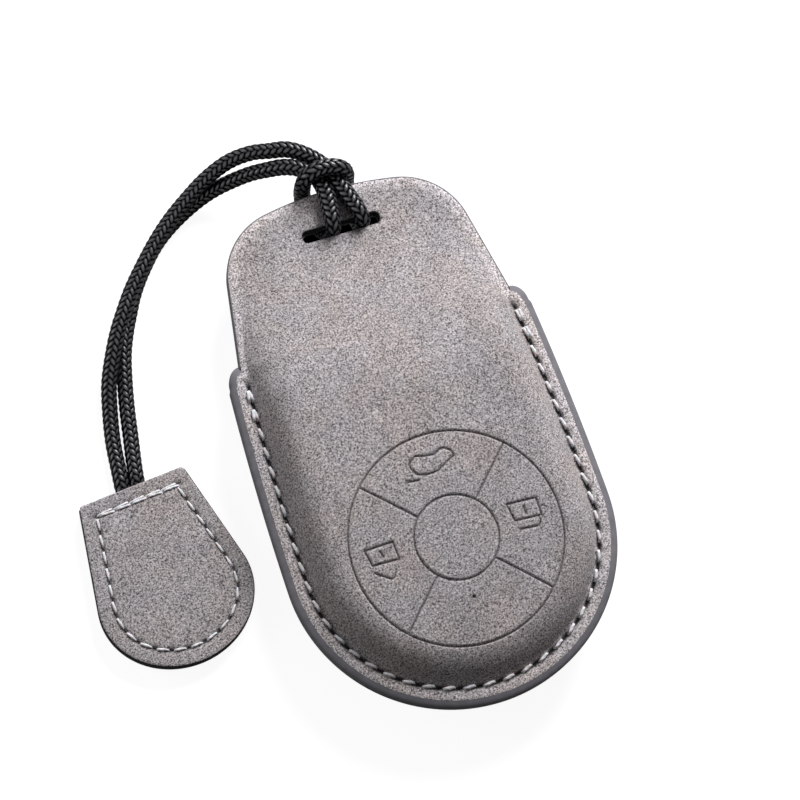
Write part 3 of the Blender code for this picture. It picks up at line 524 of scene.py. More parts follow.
def staggered(across, along, steps):
    """Points in staggered rows, from two ranges and two steps in millimetres."""
    x, y = np.meshgrid(np.arange(*across, steps[0]) * MM, np.arange(*along, steps[1]) * MM)
    x[::2] += steps[0] / 2 * MM
    return np.stack([x.ravel(), y.ravel()], axis=1)


def ellipse(angle, across, along):
    """Points at the given angles of an ellipse round the origin, from its two radii."""
    return np.stack([across * np.cos(angle), along * np.sin(angle)], axis=1)


def mirrored(points):
    """Points in reverse order, on the other side of the axis x = 0."""
    other = points[::-1].copy()
    other[:, 0] *= -1
    return other


def area_of(loop):
    """The area in a loop, which is negative where the loop runs clockwise."""
    x, y = np.asarray(loop).T
    return 0.5 * float(np.sum(x * np.roll(y, -1) - np.roll(x, -1) * y))


def in_loop(points, loop):
    """Whether each point lies inside a closed loop."""
    inside = np.zeros(len(points), bool)
    x, y = points[:, 0], points[:, 1]
    for (x1, y1), (x2, y2) in zip(loop, np.roll(loop, -1, axis=0)):
        crosses = (y1 > y) != (y2 > y)
        if y1 != y2:
            inside ^= crosses & (x < (x2 - x1) * (y - y1) / (y2 - y1) + x1)
    return inside


class Distance:
    """Distances of points to a set of samples."""

    def __init__(self, samples):
        self.tree = KDTree(len(samples))
        for i, point in enumerate(samples):
            self.tree.insert((*point, 0), i)
        self.tree.balance()

    def nearest(self, points):
        """How far the nearest sample is from each point, and which it is."""
        found = [self.tree.find((*point, 0)) for point in points]
        return np.array([f[2] for f in found]), np.array([f[1] for f in found])

    def __call__(self, points):
        return self.nearest(points)[0]


def make_object(name, vertices, faces, materials, sharp=None, smooth=True):
    """An object with its place in its mesh. Materials are build functions."""
    mesh = bpy.data.meshes.new(name)
    mesh.from_pydata([tuple(map(float, v)) for v in vertices], [], [tuple(map(int, f)) for f in faces])
    mesh.polygons.foreach_set("use_smooth", [smooth] * len(mesh.polygons))
    for build in materials:
        mesh.materials.append(material_of(build))
    if sharp is not None:
        mesh.set_sharp_from_angle(angle=sharp)
    obj = bpy.data.objects.new(name, mesh)
    bpy.context.scene.collection.objects.link(obj)
    return obj


def dress(obj, node, body):
    """Hides the CAD node that a piece stands for and attaches the piece to the body it moves with."""
    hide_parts(node)
    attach(obj, body)


def set_point_values(obj, name, values):
    attribute = obj.data.attributes.new(name, "FLOAT", "POINT")
    attribute.data.foreach_set("value", np.asarray(values, np.float32))


def tube_faces(rings, around, ends=True):
    """Quads between rings of points that are numbered ring by ring, and a face on each end."""
    faces = []
    for start in range(0, (rings - 1) * around, around):
        for j in range(around):
            k = (j + 1) % around
            faces.append((start + j, start + k, start + around + k, start + around + j))
    if ends:
        faces.append(tuple(range(around))[::-1])
        faces.append(tuple(range((rings - 1) * around, rings * around)))
    return faces


def sweep(name, path, section, material, sharp=None, place=None):
    """A closed section of (distance to the path's left, z) carried along a flat path."""
    normals = normals_of(path)
    section = np.asarray(section)
    vertices = np.zeros((len(path), len(section), 3))
    vertices[:, :, :2] = path[:, None, :] + normals[:, None, :] * section[None, :, :1]
    vertices[:, :, 2] = section[None, :, 1]
    faces = tube_faces(len(path), len(section))
    flat = vertices.reshape(-1, 3)
    if place is not None:
        flat = place(flat)
    if area_of(section) > 0:
        faces = [face[::-1] for face in faces]
    return make_object(name, flat, faces, [material], sharp)


def flat_mesh(loops, rows):
    """Triangles of a flat sheet: loops are its outline and its holes, rows are points inside it.

    It returns the points, the triangles, and each loop's point numbers. Points of a later row that lie
    nearer than POINT_GAP to an earlier one are left out.
    """
    fixed = np.vstack(loops)
    inside = np.vstack(rows)
    inside = inside[Distance(fixed)(inside) > POINT_GAP * 0.9]
    _, first = np.unique(np.round(inside / POINT_GAP), axis=0, return_index=True)
    points = np.vstack([fixed, inside[np.sort(first)]])
    edges, numbers, start = [], [], 0
    for loop in loops:
        ids = list(range(start, start + len(loop)))
        edges += list(zip(ids, ids[1:] + ids[:1]))
        numbers.append(ids)
        start += len(loop)
    found = delaunay_2d_cdt([Vector(p) / MM for p in points], edges, [], 0, 1e-5)
    placed, triangles, sources = found[0], found[2], found[3]
    if len(placed) != len(points):
        raise RuntimeError("the sheet's outline crosses itself")
    order = [source[0] for source in sources]
    corners = np.array([[order[i] for i in face] for face in triangles])
    middle = points[corners].mean(axis=1)
    wanted = in_loop(middle, loops[0])
    for hole in loops[1:]:
        wanted &= ~in_loop(middle, hole)
    corners = corners[wanted]
    a, b, c = (points[corners[:, k]] for k in range(3))
    turn = (b[:, 0] - a[:, 0]) * (c[:, 1] - a[:, 1]) - (b[:, 1] - a[:, 1]) * (c[:, 0] - a[:, 0])
    corners[turn < 0] = corners[turn < 0][:, ::-1]
    return points, corners, numbers


def shell(name, side, loops, rows, coarse_rows, outer, inner, materials, painted_shading=None, place=None):
    """A sheet with an outer face of fine points, an inner face of coarse ones and walls between them.

    outer and inner give z for points. side is 1 where the outer face looks up and -1 where it looks down.
    The walls round holes take the last material.
    """
    top, top_faces, top_loops = flat_mesh(loops, rows)
    bottom, bottom_faces, bottom_loops = flat_mesh(loops, coarse_rows)
    vertices = np.vstack([np.column_stack([top, outer(top)]), np.column_stack([bottom, inner(bottom)])])
    start = len(top)
    faces = [tuple(f) for f in top_faces] + [tuple(start + i for i in f[::-1]) for f in bottom_faces]
    for number, (high, low) in enumerate(zip(top_loops, bottom_loops)):
        turned = (area_of(loops[number]) > 0) != (number == 0)
        for i in range(len(high)):
            j = (i + 1) % len(high)
            quad = (start + low[i], start + low[j], high[j], high[i])
            faces.append(quad[::-1] if turned else quad)
        if number == 0:
            walls = len(faces)
    if side < 0:
        faces = [face[::-1] for face in faces]
    if place is not None:
        vertices = place(vertices)
    obj = make_object(name, vertices, faces, materials, sharp=50 * DEGREE)
    for polygon in obj.data.polygons[walls:]:
        polygon.material_index = len(materials) - 1
    # Painted shade and painted light of the outer face, kept as a point value for its material
    if painted_shading is not None:
        set_point_values(obj, "painted_shading", np.concatenate([painted_shading(top), np.zeros(len(bottom))]))
    return obj


# Outline of the pouch


def side_x(y, inset):
    drop = FLANGE_HALF_WIDTH - SHOULDER_HALF_WIDTH
    radius = (SHOULDER_Y**2 + drop**2) / (2 * drop)
    return FLANGE_HALF_WIDTH - inset - (radius - np.sqrt(radius**2 - y**2))


def end_points(inset, count):
    angle = np.linspace(0, 90 * DEGREE, count, endpoint=False)
    return np.stack(
        [(FLANGE_HALF_WIDTH - inset) * np.sin(angle), -(ROUND_END_DEPTH - inset) * np.cos(angle)], axis=1
    )


def side_points(inset, count):
    y = np.linspace(0, SHOULDER_Y - SHOULDER_ROUND, count, endpoint=False)
    return np.stack([side_x(y, inset), y], axis=1)


def shoulder_points(inset, count):
    angle = np.linspace(0, 90 * DEGREE, count)
    across = SHOULDER_HALF_WIDTH - TONGUE_FOOT_HALF_WIDTH
    centre = (TONGUE_FOOT_HALF_WIDTH, SHOULDER_Y - SHOULDER_ROUND)
    return centre + ellipse(angle, across - inset, SHOULDER_ROUND - inset)


def tongue_corner_centre():
    """Centre of the arc that touches the tapered side and the top arc."""
    sine, cosine = math.sin(TONGUE_TAPER), math.cos(TONGUE_TAPER)
    along = TONGUE_FOOT_HALF_WIDTH * cosine + SHOULDER_Y * sine - TONGUE_CORNER_RADIUS
    top_centre = TONGUE_TOP_Y - TONGUE_TOP_RADIUS
    reach = TONGUE_TOP_RADIUS - TONGUE_CORNER_RADIUS
    middle = along * sine + cosine**2 * top_centre
    rest = along**2 + cosine**2 * (top_centre**2 - reach**2)
    y = middle + math.sqrt(middle**2 - rest)
    return (along - y * sine) / cosine, y


def tongue_x(y, inset):
    return TONGUE_FOOT_HALF_WIDTH - (y - SHOULDER_Y) * math.tan(TONGUE_TAPER) - inset / math.cos(TONGUE_TAPER)


def tongue_points(start_y, inset, counts):
    """The right edge of the tongue, from start_y up to the middle of its top."""
    centre_x, centre_y = tongue_corner_centre()
    radius = TONGUE_CORNER_RADIUS - inset
    y = np.linspace(start_y, centre_y + radius * math.sin(TONGUE_TAPER), counts[0], endpoint=False)
    sides = np.stack([tongue_x(y, inset), y], axis=1)
    top_centre = TONGUE_TOP_Y - TONGUE_TOP_RADIUS
    last = math.atan2(centre_y - top_centre, centre_x)
    angle = np.linspace(TONGUE_TAPER, last, counts[1], endpoint=False)
    corner = (centre_x, centre_y) + ellipse(angle, radius, radius)
    angle = np.linspace(last, 90 * DEGREE, counts[2])
    reach = TONGUE_TOP_RADIUS - inset
    return np.vstack([sides, corner, (0, top_centre) + ellipse(angle, reach, reach)])


# Points along the round end, the side, the shoulder and the three parts of the tongue
COUNTS = (110, 90, 14, (40, 50, 18))


def half_line(inset, shoulder, tongue_start, tongue_inset):
    """The right half of a line beside the cut edge, from the bottom up, past the shoulder's given points."""
    tongue = tongue_points(tongue_start, tongue_inset, COUNTS[3])
    return np.vstack([end_points(inset, COUNTS[0]), side_points(inset, COUNTS[1]), shoulder, tongue])


def edge_half(inset, tongue_inset):
    """The right half of a line beside the cut edge."""
    return half_line(inset, shoulder_points(inset, COUNTS[2]), SHOULDER_Y - inset, tongue_inset)


def foot_half():
    """The right half of the dome's foot, point for point beside edge_half."""
    side_top = SHOULDER_Y - SHOULDER_ROUND
    share = np.arange(COUNTS[2]) / COUNTS[2]
    y = side_top + (SHOULDER_Y - side_top) * share
    x = blend_of(side_x(y, DOME_FOOT_INSET), tongue_x(y, TONGUE_LIP), smooth_step(share))
    return half_line(DOME_FOOT_INSET, np.stack([x, y], axis=1), SHOULDER_Y, TONGUE_LIP)


def whole(half):
    """A closed loop from its right half, which starts and ends on the axis."""
    return np.vstack([half, mirrored(half[1:-1])])


def open_line(half):
    """A line from the left end round to the right end, from its right half."""
    return np.vstack([mirrored(half[1:]), half])


def seam_path(inset, top_y, step):
    """A line beside the flange's edge, from the left shoulder round the end to the right shoulder."""
    y = np.linspace(0, top_y, 80)
    right = np.vstack([end_points(inset, 160), np.stack([side_x(y, inset), y], axis=1)])
    return spread(open_line(right), step)


def slot_loop(grow):
    """The slot's outline, grown by a distance."""
    corner = SLOT_CORNER + grow
    points = []
    for number in range(4):
        sign_x = 1 if number in (0, 3) else -1
        sign_y = 1 if number < 2 else -1
        centre = (sign_x * (SLOT_LENGTH / 2 - SLOT_CORNER), SLOT_Y + sign_y * (SLOT_HEIGHT / 2 - SLOT_CORNER))
        for angle in np.linspace(0, 90 * DEGREE, 8) + number * 90 * DEGREE:
            points.append((centre[0] + corner * math.cos(angle), centre[1] + corner * math.sin(angle)))
    return spread(points, 0.3 * MM, closed=True)


# Shape of the front and the back


def crown(y):
    return 1 - smooth_step((y - CROWN_START_Y) / (CROWN_END_Y - CROWN_START_Y))


def dome_height(points, rise, arch_share, foot, foot_loop):
    """Height of the dome over the flange."""
    away = np.where(in_loop(points, foot_loop), foot(points), 0)
    share = away / blend_of(TONGUE_DOME_WIDTH, DOME_WIDTH, crown(points[:, 1]))
    share = np.clip(np.sqrt(share**2 + DOME_FOOT_SOFTNESS**2) - DOME_FOOT_SOFTNESS, 0, 1)
    arch = 1 - arch_share * (np.clip(ARCH_START_Y - points[:, 1], 0, None) / (ARCH_START_Y + ROUND_END_DEPTH)) ** 2
    return rise * arch * crown(points[:, 1]) * (1 - (1 - share) ** DOME_ROUNDNESS) ** DOME_STEEPNESS


def pressed_lines():
    """Centre lines of everything that is pressed into the button face."""
    lines = []
    for radius in (PAD_RADIUS, PAD_CENTRE_RADIUS):
        lines.append(ellipse(np.linspace(0, 2 * math.pi, 361), radius, radius))
    for degrees in PAD_SPOKES:
        way = np.array([math.cos(degrees * DEGREE), math.sin(degrees * DEGREE)])
        lines.append(np.stack([way * PAD_CENTRE_RADIUS, way * PAD_RADIUS]))
    lines = [line + PAD_SHIFT for line in lines] + [np.array(sign) * MM for sign in SIGNS]
    return [spread(line, 0.1 * MM) for line in lines]


def pressed_rows(lines, half_width):
    """Rows of points along the pressed lines and round the lamp dot."""
    rows = []
    for line in lines:
        shares = (0, -0.5, 0.5, -1, 1, -1.7, 1.7, -2.6, 2.6)
        rows += beside(line, [half_width * share for share in shares], 0.3 * MM)
    angle = np.linspace(0, 2 * math.pi, 12, endpoint=False)
    for radius in (0, 0.15, 0.3, 0.45, 0.6):
        rows.append(LAMP_DOT + ellipse(angle, radius * MM, radius * MM))
    return rows


def hole_marks(holes, ways, points, slant):
    """How deep in a needle hole each point lies, from 0 to 1. The holes are slits at a slant to the seam."""
    away, which = Distance(holes).nearest(points)
    depth = np.zeros(len(points))
    near = away < 1.6 * MM
    offset = points[near] - holes[which[near]]
    x, y = ways[which[near]].T
    cosine, sine = math.cos(slant), math.sin(slant)
    along = x * cosine - y * sine, y * cosine + x * sine
    u = offset[:, 0] * along[0] + offset[:, 1] * along[1]
    v = offset[:, 1] * along[0] - offset[:, 0] * along[1]
    depth[near] = np.exp(-((u / HOLE_REACH[0]) ** 2 + (v / HOLE_REACH[1]) ** 2))
    return depth


def leather_half(name, side, rise, node, lining_node):
    """One half of the pouch: its leather sheet and its lining."""
    settings = bpy.context.scene.pouch_leather
    half_width = settings.pressed_width / 2
    slant = side * bpy.context.scene.pouch_seams.slant
    arch_share = ARCH_SHARE if side > 0 else 0
    lines = pressed_lines() if side > 0 else []
    near_lines = Distance(np.vstack(lines)) if lines else None
    edge, foot_line = edge_half(PAINT_RIM, MOUTH_PAINT_RIM), foot_half()
    foot_loop = whole(foot_line)
    near_foot = Distance(spread(foot_loop, 0.15 * MM, closed=True))
    loops = [whole(edge), slot_loop(0)]
    near_edge, near_slot = Distance(loops[0]), Distance(loops[1])
    seam = seam_path(STITCH_INSET, SEAM_TOP_Y, 0.22 * MM)
    near_seam = Distance(seam)
    holes = seam_path(STITCH_INSET, SEAM_TOP_Y, STITCH_PITCH)

    def hole_share(spots):
        return hole_marks(holes, directions(holes), spots, slant)

    # Points of the face, in rows that are closer together where the shape bends more
    seam_rows = [seam + normals_of(seam) * offset * MM for offset in (0, 0.17, -0.17, 0.34, -0.34, 0.55, -0.55)]
    plain = [whole(blend_of(edge, foot_line, share)) for share in (0.12, 0.25, 0.42, 0.6, 0.8)]
    spine = np.stack([np.zeros(len(foot_line)), np.clip(foot_line[:, 1], 0, 50 * MM)], axis=1)
    inward = unit(spine - foot_line)
    for depth in (0, 0.14, 0.3, 0.48, 0.68, 0.9, 1.15, 1.45, 1.8, 2.2, 2.65, 3.15, 3.7, 4.3, 5.0, 5.8):
        plain.append(whole(foot_line + inward * depth * MM))
    field = staggered((-24, 24), (-22, 66), (0.72, 0.62))
    field = field[in_loop(field, foot_loop) & (near_foot(field) > 6.2 * MM)]
    if lines:
        field = field[near_lines(field) > 0.7 * MM]
    slot_zone = slot_loop(0.72 * MM)
    plain = [row[~in_loop(row, slot_zone)] for row in [field] + plain]
    plain = [row[near_seam(row) > 0.62 * MM] for row in plain]
    points = [slot_loop(grow * MM) for grow in (0.1, 0.22, 0.4, 0.65)]
    points += (pressed_rows(lines, half_width) if lines else []) + seam_rows + plain
    coarse = [row[::3] for row in plain[1::3]] + [plain[0][::4]]

    def lift(spots):
        return FLANGE_HALF + dome_height(spots, rise, arch_share, near_foot, foot_loop)

    def from_dot(spots):
        return np.linalg.norm(spots - LAMP_DOT, axis=1)

    def outer(spots):
        share = 0
        if lines:
            away = near_lines(spots)
            lip, place, reach = PRESSED_LIP
            share = groove(away, half_width) - lip * bell(away - place, reach)
            share = np.maximum(share, groove(from_dot(spots), LAMP_DOT_RADIUS))
        height = lift(spots) - settings.pressed_depth * share
        height = height - SEAM_GROOVE[0] * bell(near_seam(spots), SEAM_GROOVE[1])
        height = height - HOLE_DEPTH * hole_share(spots)
        for near, (depth, reach) in ((near_slot, SLOT_BEND), (near_edge, EDGE_BEND)):
            height = height - depth * bell(near(spots), reach)
        return PARTING_Z + side * height

    # Painted shade in pressed lines, lamp dot, needle holes, seam and slot rim; painted light towards the cut edge
    def painted_shade_and_light(spots):
        painted_shade = SEAM_SHADE * bell(near_seam(spots), SEAM_GROOVE[1]) + HOLE_SHADE * hole_share(spots)
        marks = [(near_slot, SLOT_SHADE)]
        if lines:
            marks += [(near_lines, LINE_SHADE), (from_dot, DOT_SHADE)]
        for away_from, (shade, reach) in marks:
            painted_shade += shade * bell(away_from(spots), reach)
        painted_light = EDGE_PAINTED_LIGHT[0] * np.exp(-((near_edge(spots) / EDGE_PAINTED_LIGHT[1]) ** 4))
        return np.clip(painted_shade - painted_light, *PAINTED_SHADING_LIMITS)

    def level(depth):
        return lambda spots: PARTING_Z + side * (lift(spots) - depth)

    leather = shell(
        name + "_leather", side, loops, points, coarse, outer, level(LEATHER), [nubuck_leather, black_acrylic_paint],
        painted_shading=painted_shade_and_light,
    )
    lining_loops = [whole(edge_half(PAINT_RIM + 0.15 * MM, 0.9 * MM)), slot_loop(0)]
    lining = shell(
        name + "_lining_cloth", side, lining_loops, coarse, coarse, *map(level, LINING_DEPTHS), [microfibre_lining]
    )
    dress(leather, node, "pouch")
    dress(lining, lining_node, "pouch")


class KEYPOUCH_OT_leather(bpy.types.Operator):
    """Builds the front and back leather sheets with their linings, pressed lines, slot and needle holes"""

    bl_idname = "key_pouch.leather"
    bl_label = "Leather halves"

    def execute(self, context):
        leather_half("front", 1, FRONT_RISE, "front_panel", "front_lining")
        leather_half("back", -1, BACK_RISE, "back_panel", "back_lining")
        return {"FINISHED"}


class KEYPOUCH_OT_edges(bpy.types.Operator):
    """Builds the coats of edge paint round the sewn edge and round each half of the mouth"""

    bl_idname = "key_pouch.edges"
    bl_label = "Painted edges"

    def execute(self, context):
        # The sewn edge's coat runs from shoulder to shoulder, with its ends turned in. Its section bends
        # from the rim on each face to a flat side
        half = np.vstack([end_points(0, 90), side_points(0, 60), shoulder_points(0, 12)])
        half = np.vstack([half, [[half[-1][0] - 0.5 * MM, half[-1][1]]]])
        start, side_top, top = 35 * DEGREE, 0.75 * MM, FLANGE_HALF - 0.18 * MM
        bend = [(PAINT_RIM + 0.1 * MM, 0.85 * MM), (PAINT_RIM, 0.86 * MM)]
        for angle in np.linspace(start, 90 * DEGREE, 6):
            across = PAINT_RIM * (1 - math.sin(angle)) / (1 - math.sin(start))
            bend.append((across, side_top + (top - side_top) * math.cos(angle) / math.cos(start)))
        profile = [(across, PARTING_Z - up) for across, up in bend]
        profile += [(across, PARTING_Z + up) for across, up in bend[::-1]]
        coat = sweep("sewn_edge_paint", open_line(half), profile, grey_acrylic_paint, sharp=50 * DEGREE)
        dress(coat, "flange_edge_coat", "pouch")
        # Each half of the mouth has a rounded coat of its own, with a thin gap between the two
        right = tongue_points(SHOULDER_Y - 0.6 * MM, 0, (30, 40, 20))
        line = np.vstack([right, mirrored(right[:-1])])
        low, high = 0.15 * MM, FLANGE_HALF - 0.15 * MM
        for side, word in ((1, "front"), (-1, "back")):
            profile = []
            for degrees in range(-80, 81, 16):
                angle = degrees * DEGREE
                up = math.copysign(abs(math.sin(angle)) ** 0.7, angle)
                z = (low + high) / 2 + (high - low) / 2 * up
                profile.append((MOUTH_PAINT_RIM * (1 - math.cos(angle) ** 0.7), PARTING_Z + side * z))
            profile += [(MOUTH_PAINT_RIM, PARTING_Z + side * z) for z in (high, low)]
            coat = sweep(word + "_mouth_paint", line, profile, grey_acrylic_paint)
            dress(coat, word + "_tongue_coat", "pouch")
        return {"FINISHED"}


# Stitches


def stitch_shape(length, diameter, taper):
    """One stitch of twisted thread: it dives into its holes at both ends. It lies along x, with its top to +z."""
    around, rings = 10, 15
    vertices = []
    for share in (i / (rings - 1) * 2 - 1 for i in range(rings)):
        x = share * length / 2
        # Its middle lies a third of its thickness up, its ends go down into the holes, and it thins there
        z = diameter * (0.32 - 1.35 * abs(share) ** 5)
        thick = diameter / 2 * (1 - 0.16 * share**2) * (1 - taper * share)
        for angle in (2 * math.pi * j / around for j in range(around)):
            ply = 1 + 0.13 * math.cos(2 * angle - 2 * math.pi * x / (1.15 * MM))
            vertices.append((x, thick * ply * math.cos(angle), z + 0.85 * thick * ply * math.sin(angle)))
    return make_object("stitch_shape", vertices, tube_faces(rings, around), [polyester_thread])


def stitch_tree():
    """Geometry nodes that set one stitch at every pitch along the lines of a mesh."""
    tree = bpy.data.node_groups.get("stitch row")
    if tree:
        return tree
    tree = bpy.data.node_groups.new("stitch row", "GeometryNodeTree")
    for name, kind in (
        ("Lines", "Geometry"), ("Stitch", "Object"), ("Pitch", "Float"), ("Slant", "Float"), ("Unevenness", "Float"),
        ("Turn over", "Float"), ("Seed", "Int"), ("Thread", "Material"),
    ):
        tree.interface.new_socket(name=name, in_out="INPUT", socket_type="NodeSocket" + kind)
    tree.interface.new_socket(name="Stitches", in_out="OUTPUT", socket_type="NodeSocketGeometry")
    given = add_node(tree, "NodeGroupInput").outputs
    curve = add_node(tree, "GeometryNodeMeshToCurve", {"Mesh": given["Lines"]})
    row = add_node(tree, "GeometryNodeCurveToPoints", {"Curve": curve, "Length": given["Pitch"]}, mode="LENGTH")
    rotation = add_node(
        tree, "FunctionNodeAlignRotationToVector", {"Vector": row.outputs["Tangent"]}, axis="X", pivot_axis="Z"
    )
    less = add_node(tree, MATH, (given["Unevenness"], -1.0), operation="MULTIPLY")
    # The sockets of a random value have the same names for each type, so they are set by number
    wobble = add_node(
        tree, "FunctionNodeRandomValue", {2: less, 3: given["Unevenness"], 8: given["Seed"]}, data_type="FLOAT"
    )
    angle = add_node(tree, MATH, (given["Slant"], wobble), operation="ADD")
    for turn in ({"Z": angle}, {"X": given["Turn over"]}):
        by = add_node(tree, "FunctionNodeEulerToRotation", (add_node(tree, "ShaderNodeCombineXYZ", turn),))
        rotation = add_node(tree, "FunctionNodeRotateRotation", (rotation, by), rotation_space="LOCAL")
    size = add_node(tree, MATH, (wobble, 0.5, 1.0), operation="MULTIPLY_ADD")
    shape = add_node(tree, "GeometryNodeObjectInfo", {"Object": given["Stitch"]}).outputs["Geometry"]
    placed = add_node(
        tree, "GeometryNodeInstanceOnPoints", {"Points": row, "Instance": shape, "Rotation": rotation, "Scale": size}
    )
    real = add_node(tree, "GeometryNodeRealizeInstances", {"Geometry": placed})
    sewn = add_node(tree, "GeometryNodeSetMaterial", {"Geometry": real, "Material": given["Thread"]})
    add_node(tree, "NodeGroupOutput", {"Stitches": sewn})
    return tree


def stitch_rows(lines, pitch, shape, slant, unevenness, seed, over):
    """The mesh of the stitches along each line, a list of (x, y, z) points."""
    tree = stitch_tree()
    vertices, edges = [], []
    for line in lines:
        start = len(vertices)
        vertices += [tuple(map(float, point)) for point in line]
        edges += [(start + i, start + i + 1) for i in range(len(line) - 1)]
    mesh = bpy.data.meshes.new("stitch_lines")
    mesh.from_pydata(vertices, edges, [])
    base = bpy.data.objects.new("stitch_lines", mesh)
    bpy.context.scene.collection.objects.link(base)
    modifier = base.modifiers.new("stitches", "NODES")
    modifier.node_group = tree
    values = {
        "Stitch": shape, "Pitch": pitch, "Slant": slant, "Unevenness": unevenness, "Seed": seed,
        "Turn over": math.pi if over else 0.0, "Thread": material_of(polyester_thread),
    }
    for item in tree.interface.items_tree:
        if item.in_out == "INPUT" and item.name in values:
            modifier[item.identifier] = values[item.name]
    made = bpy.data.meshes.new_from_object(base.evaluated_get(bpy.context.evaluated_depsgraph_get()))
    if not len(made.polygons):
        raise RuntimeError("the stitch row came out empty")
    bpy.data.objects.remove(base, do_unlink=True)
    return made


def sew(name, rows, node, body):
    """A piece of all the stitches in some meshes."""
    vertices, faces = [], []
    for mesh in rows:
        start = len(vertices)
        vertices += [tuple(v.co) for v in mesh.vertices]
        faces += [tuple(start + i for i in p.vertices) for p in mesh.polygons]
    dress(make_object(name, vertices, faces, [polyester_thread]), node, body)


def middles_of(holes):
    """The middle of the stitch between each two holes."""
    return (holes[:-1] + holes[1:]) / 2


def pitch_of(middles):
    """The pitch of a row, a touch short so that its last stitch isn't lost."""
    return length_of(middles) / (len(middles) - 1) * 0.998


def lifted(line, z):
    return np.column_stack([line, np.full(len(line), z)])


class KEYPOUCH_OT_seams(bpy.types.Operator):
    """Sews the pouch: a row of slanted stitches on each side, doubled at both shoulders"""

    bl_idname = "key_pouch.seams"
    bl_label = "Pouch seams"

    def execute(self, context):
        settings = context.scene.pouch_seams
        shape = stitch_shape(settings.stitch_length, settings.thread_diameter, 0.0)
        middles = middles_of(seam_path(STITCH_INSET, SEAM_TOP_Y, STITCH_PITCH))
        across = normals_of(middles)
        for side, word in ((1, "front"), (-1, "back")):
            z = PARTING_Z + side * (FLANGE_HALF + 0.02 * MM)
            slant = side * settings.slant
            ends = []
            for end in (slice(0, 2), slice(-2, None)):
                ends.append(lifted(middles[end] - across[end] * 0.42 * MM, z + side * 0.1 * MM))
            rows = [
                stitch_rows([lifted(middles, z)], pitch_of(middles), shape, slant, 0.05, 3, side < 0),
                stitch_rows(ends, STITCH_PITCH * 0.98, shape, -slant * 0.4, 0.1, 8, side < 0),
            ]
            sew(word + "_seam_stitches", rows, word + "_seam_thread", "pouch")
        bpy.data.objects.remove(shape, do_unlink=True)
        return {"FINISHED"}


# Cord


def smooth_route(points, step):
    """Points a step apart on the smooth curve through a route's points."""
    route = np.array(points, float) * MM
    ends = np.vstack([2 * route[0] - route[1], route, 2 * route[-1] - route[-2]])
    t = np.linspace(0, 1, 24, endpoint=False)[:, None]
    dense = []
    for a, b, c, d in zip(ends, ends[1:], ends[2:], ends[3:]):
        dense.append(
            0.5 * (2 * b + (c - a) * t + (2 * a - 5 * b + 4 * c - d) * t**2 + (3 * b - a - 3 * c + d) * t**3)
        )
    return spread(np.vstack(dense + [route[-1:]]), step)


def turning_frames(path):
    """Two unit vectors across the path at each point, which turn as little as they can."""
    along = directions(path)
    across = np.zeros_like(along)
    first = np.cross(along[0], (0, 0, 1))
    across[0] = first / np.linalg.norm(first)
    for i in range(1, len(path)):
        kept = across[i - 1] - along[i] * across[i - 1].dot(along[i])
        across[i] = kept / np.linalg.norm(kept)
    return across, np.cross(along, across)


def braid(path, radii, squeeze, settings):
    """Ring points, crest heights and strand places of a sixteen-carrier braid along a path.

    Eight carriers climb each way round the cord. a and b number the carriers of the two ways at each
    point, and each dives under two of the others after it passes over two.
    """
    theta = 2 * math.pi * np.arange(BRAID_AROUND) / BRAID_AROUND
    turn = settings.carriers * theta[None, :] / (2 * math.pi)
    climb = settings.carriers * lengths_along(path)[:, None] / settings.lay_length
    a, b = turn + climb, turn - climb
    high_a, high_b = (
        BRAID_HUMP * np.clip(1 - (2 * (own - np.round(own))) ** 2, 0, 1) ** 0.85
        + BRAID_WEAVE * np.cos(math.pi / 2 * (other + np.round(own) - phase))
        for own, other, phase in ((a, b, 0.5), (b, a, 2.5))
    )
    high = np.maximum(high_a, high_b)
    top = BRAID_HUMP + BRAID_WEAVE
    radius = radii[:, None] + (high - top) * (radii / (settings.diameter / 2))[:, None]
    one, other = (side[:, None, :] for side in turning_frames(path))
    offset = radius[:, :, None] * (np.cos(theta)[None, :, None] * one + np.sin(theta)[None, :, None] * other)
    rings = path[:, None, :] + offset * squeeze[:, None, :]
    return rings, (high + BRAID_WEAVE) / (top + BRAID_WEAVE), (a, b, high_a > high_b)


def braid_object(name, braided, start, stop):
    """A piece of the braided cord between two rings, with closed ends."""
    rings, crest, (a, b, first) = braided
    piece = rings[start:stop]
    count, around = piece.shape[:2]
    vertices = np.vstack([piece.reshape(-1, 3), piece[[0, -1]].mean(axis=1)])
    faces = tube_faces(count, around, ends=False)
    last = (count - 1) * around
    for j in range(around):
        k = (j + 1) % around
        faces += [(count * around, k, j), (count * around + 1, last + j, last + k)]
    obj = make_object(name, vertices, faces, [waxed_cotton_braid])
    set_point_values(obj, "crest", np.concatenate([crest[start:stop].ravel(), [0.4, 0.4]]))
    layer = obj.data.uv_layers.new(name="strand")
    uv = np.zeros((len(obj.data.loops), 2), np.float32)
    index = 0
    for i in range(start, stop - 1):
        for j in range(around):
            lead, cross = (a, b) if first[i, j] else (b, a)
            base = round(float(lead[i, j]))
            for row, column in ((i, j), (i, j + 1), (i + 1, j + 1), (i + 1, j)):
                wrap = column // around * 8
                column = column % around
                uv[index] = (lead[row, column] + wrap - base, cross[row, column] + wrap + 5 * base)
                index += 1
    layer.data.foreach_set("uv", uv.ravel())
    return obj


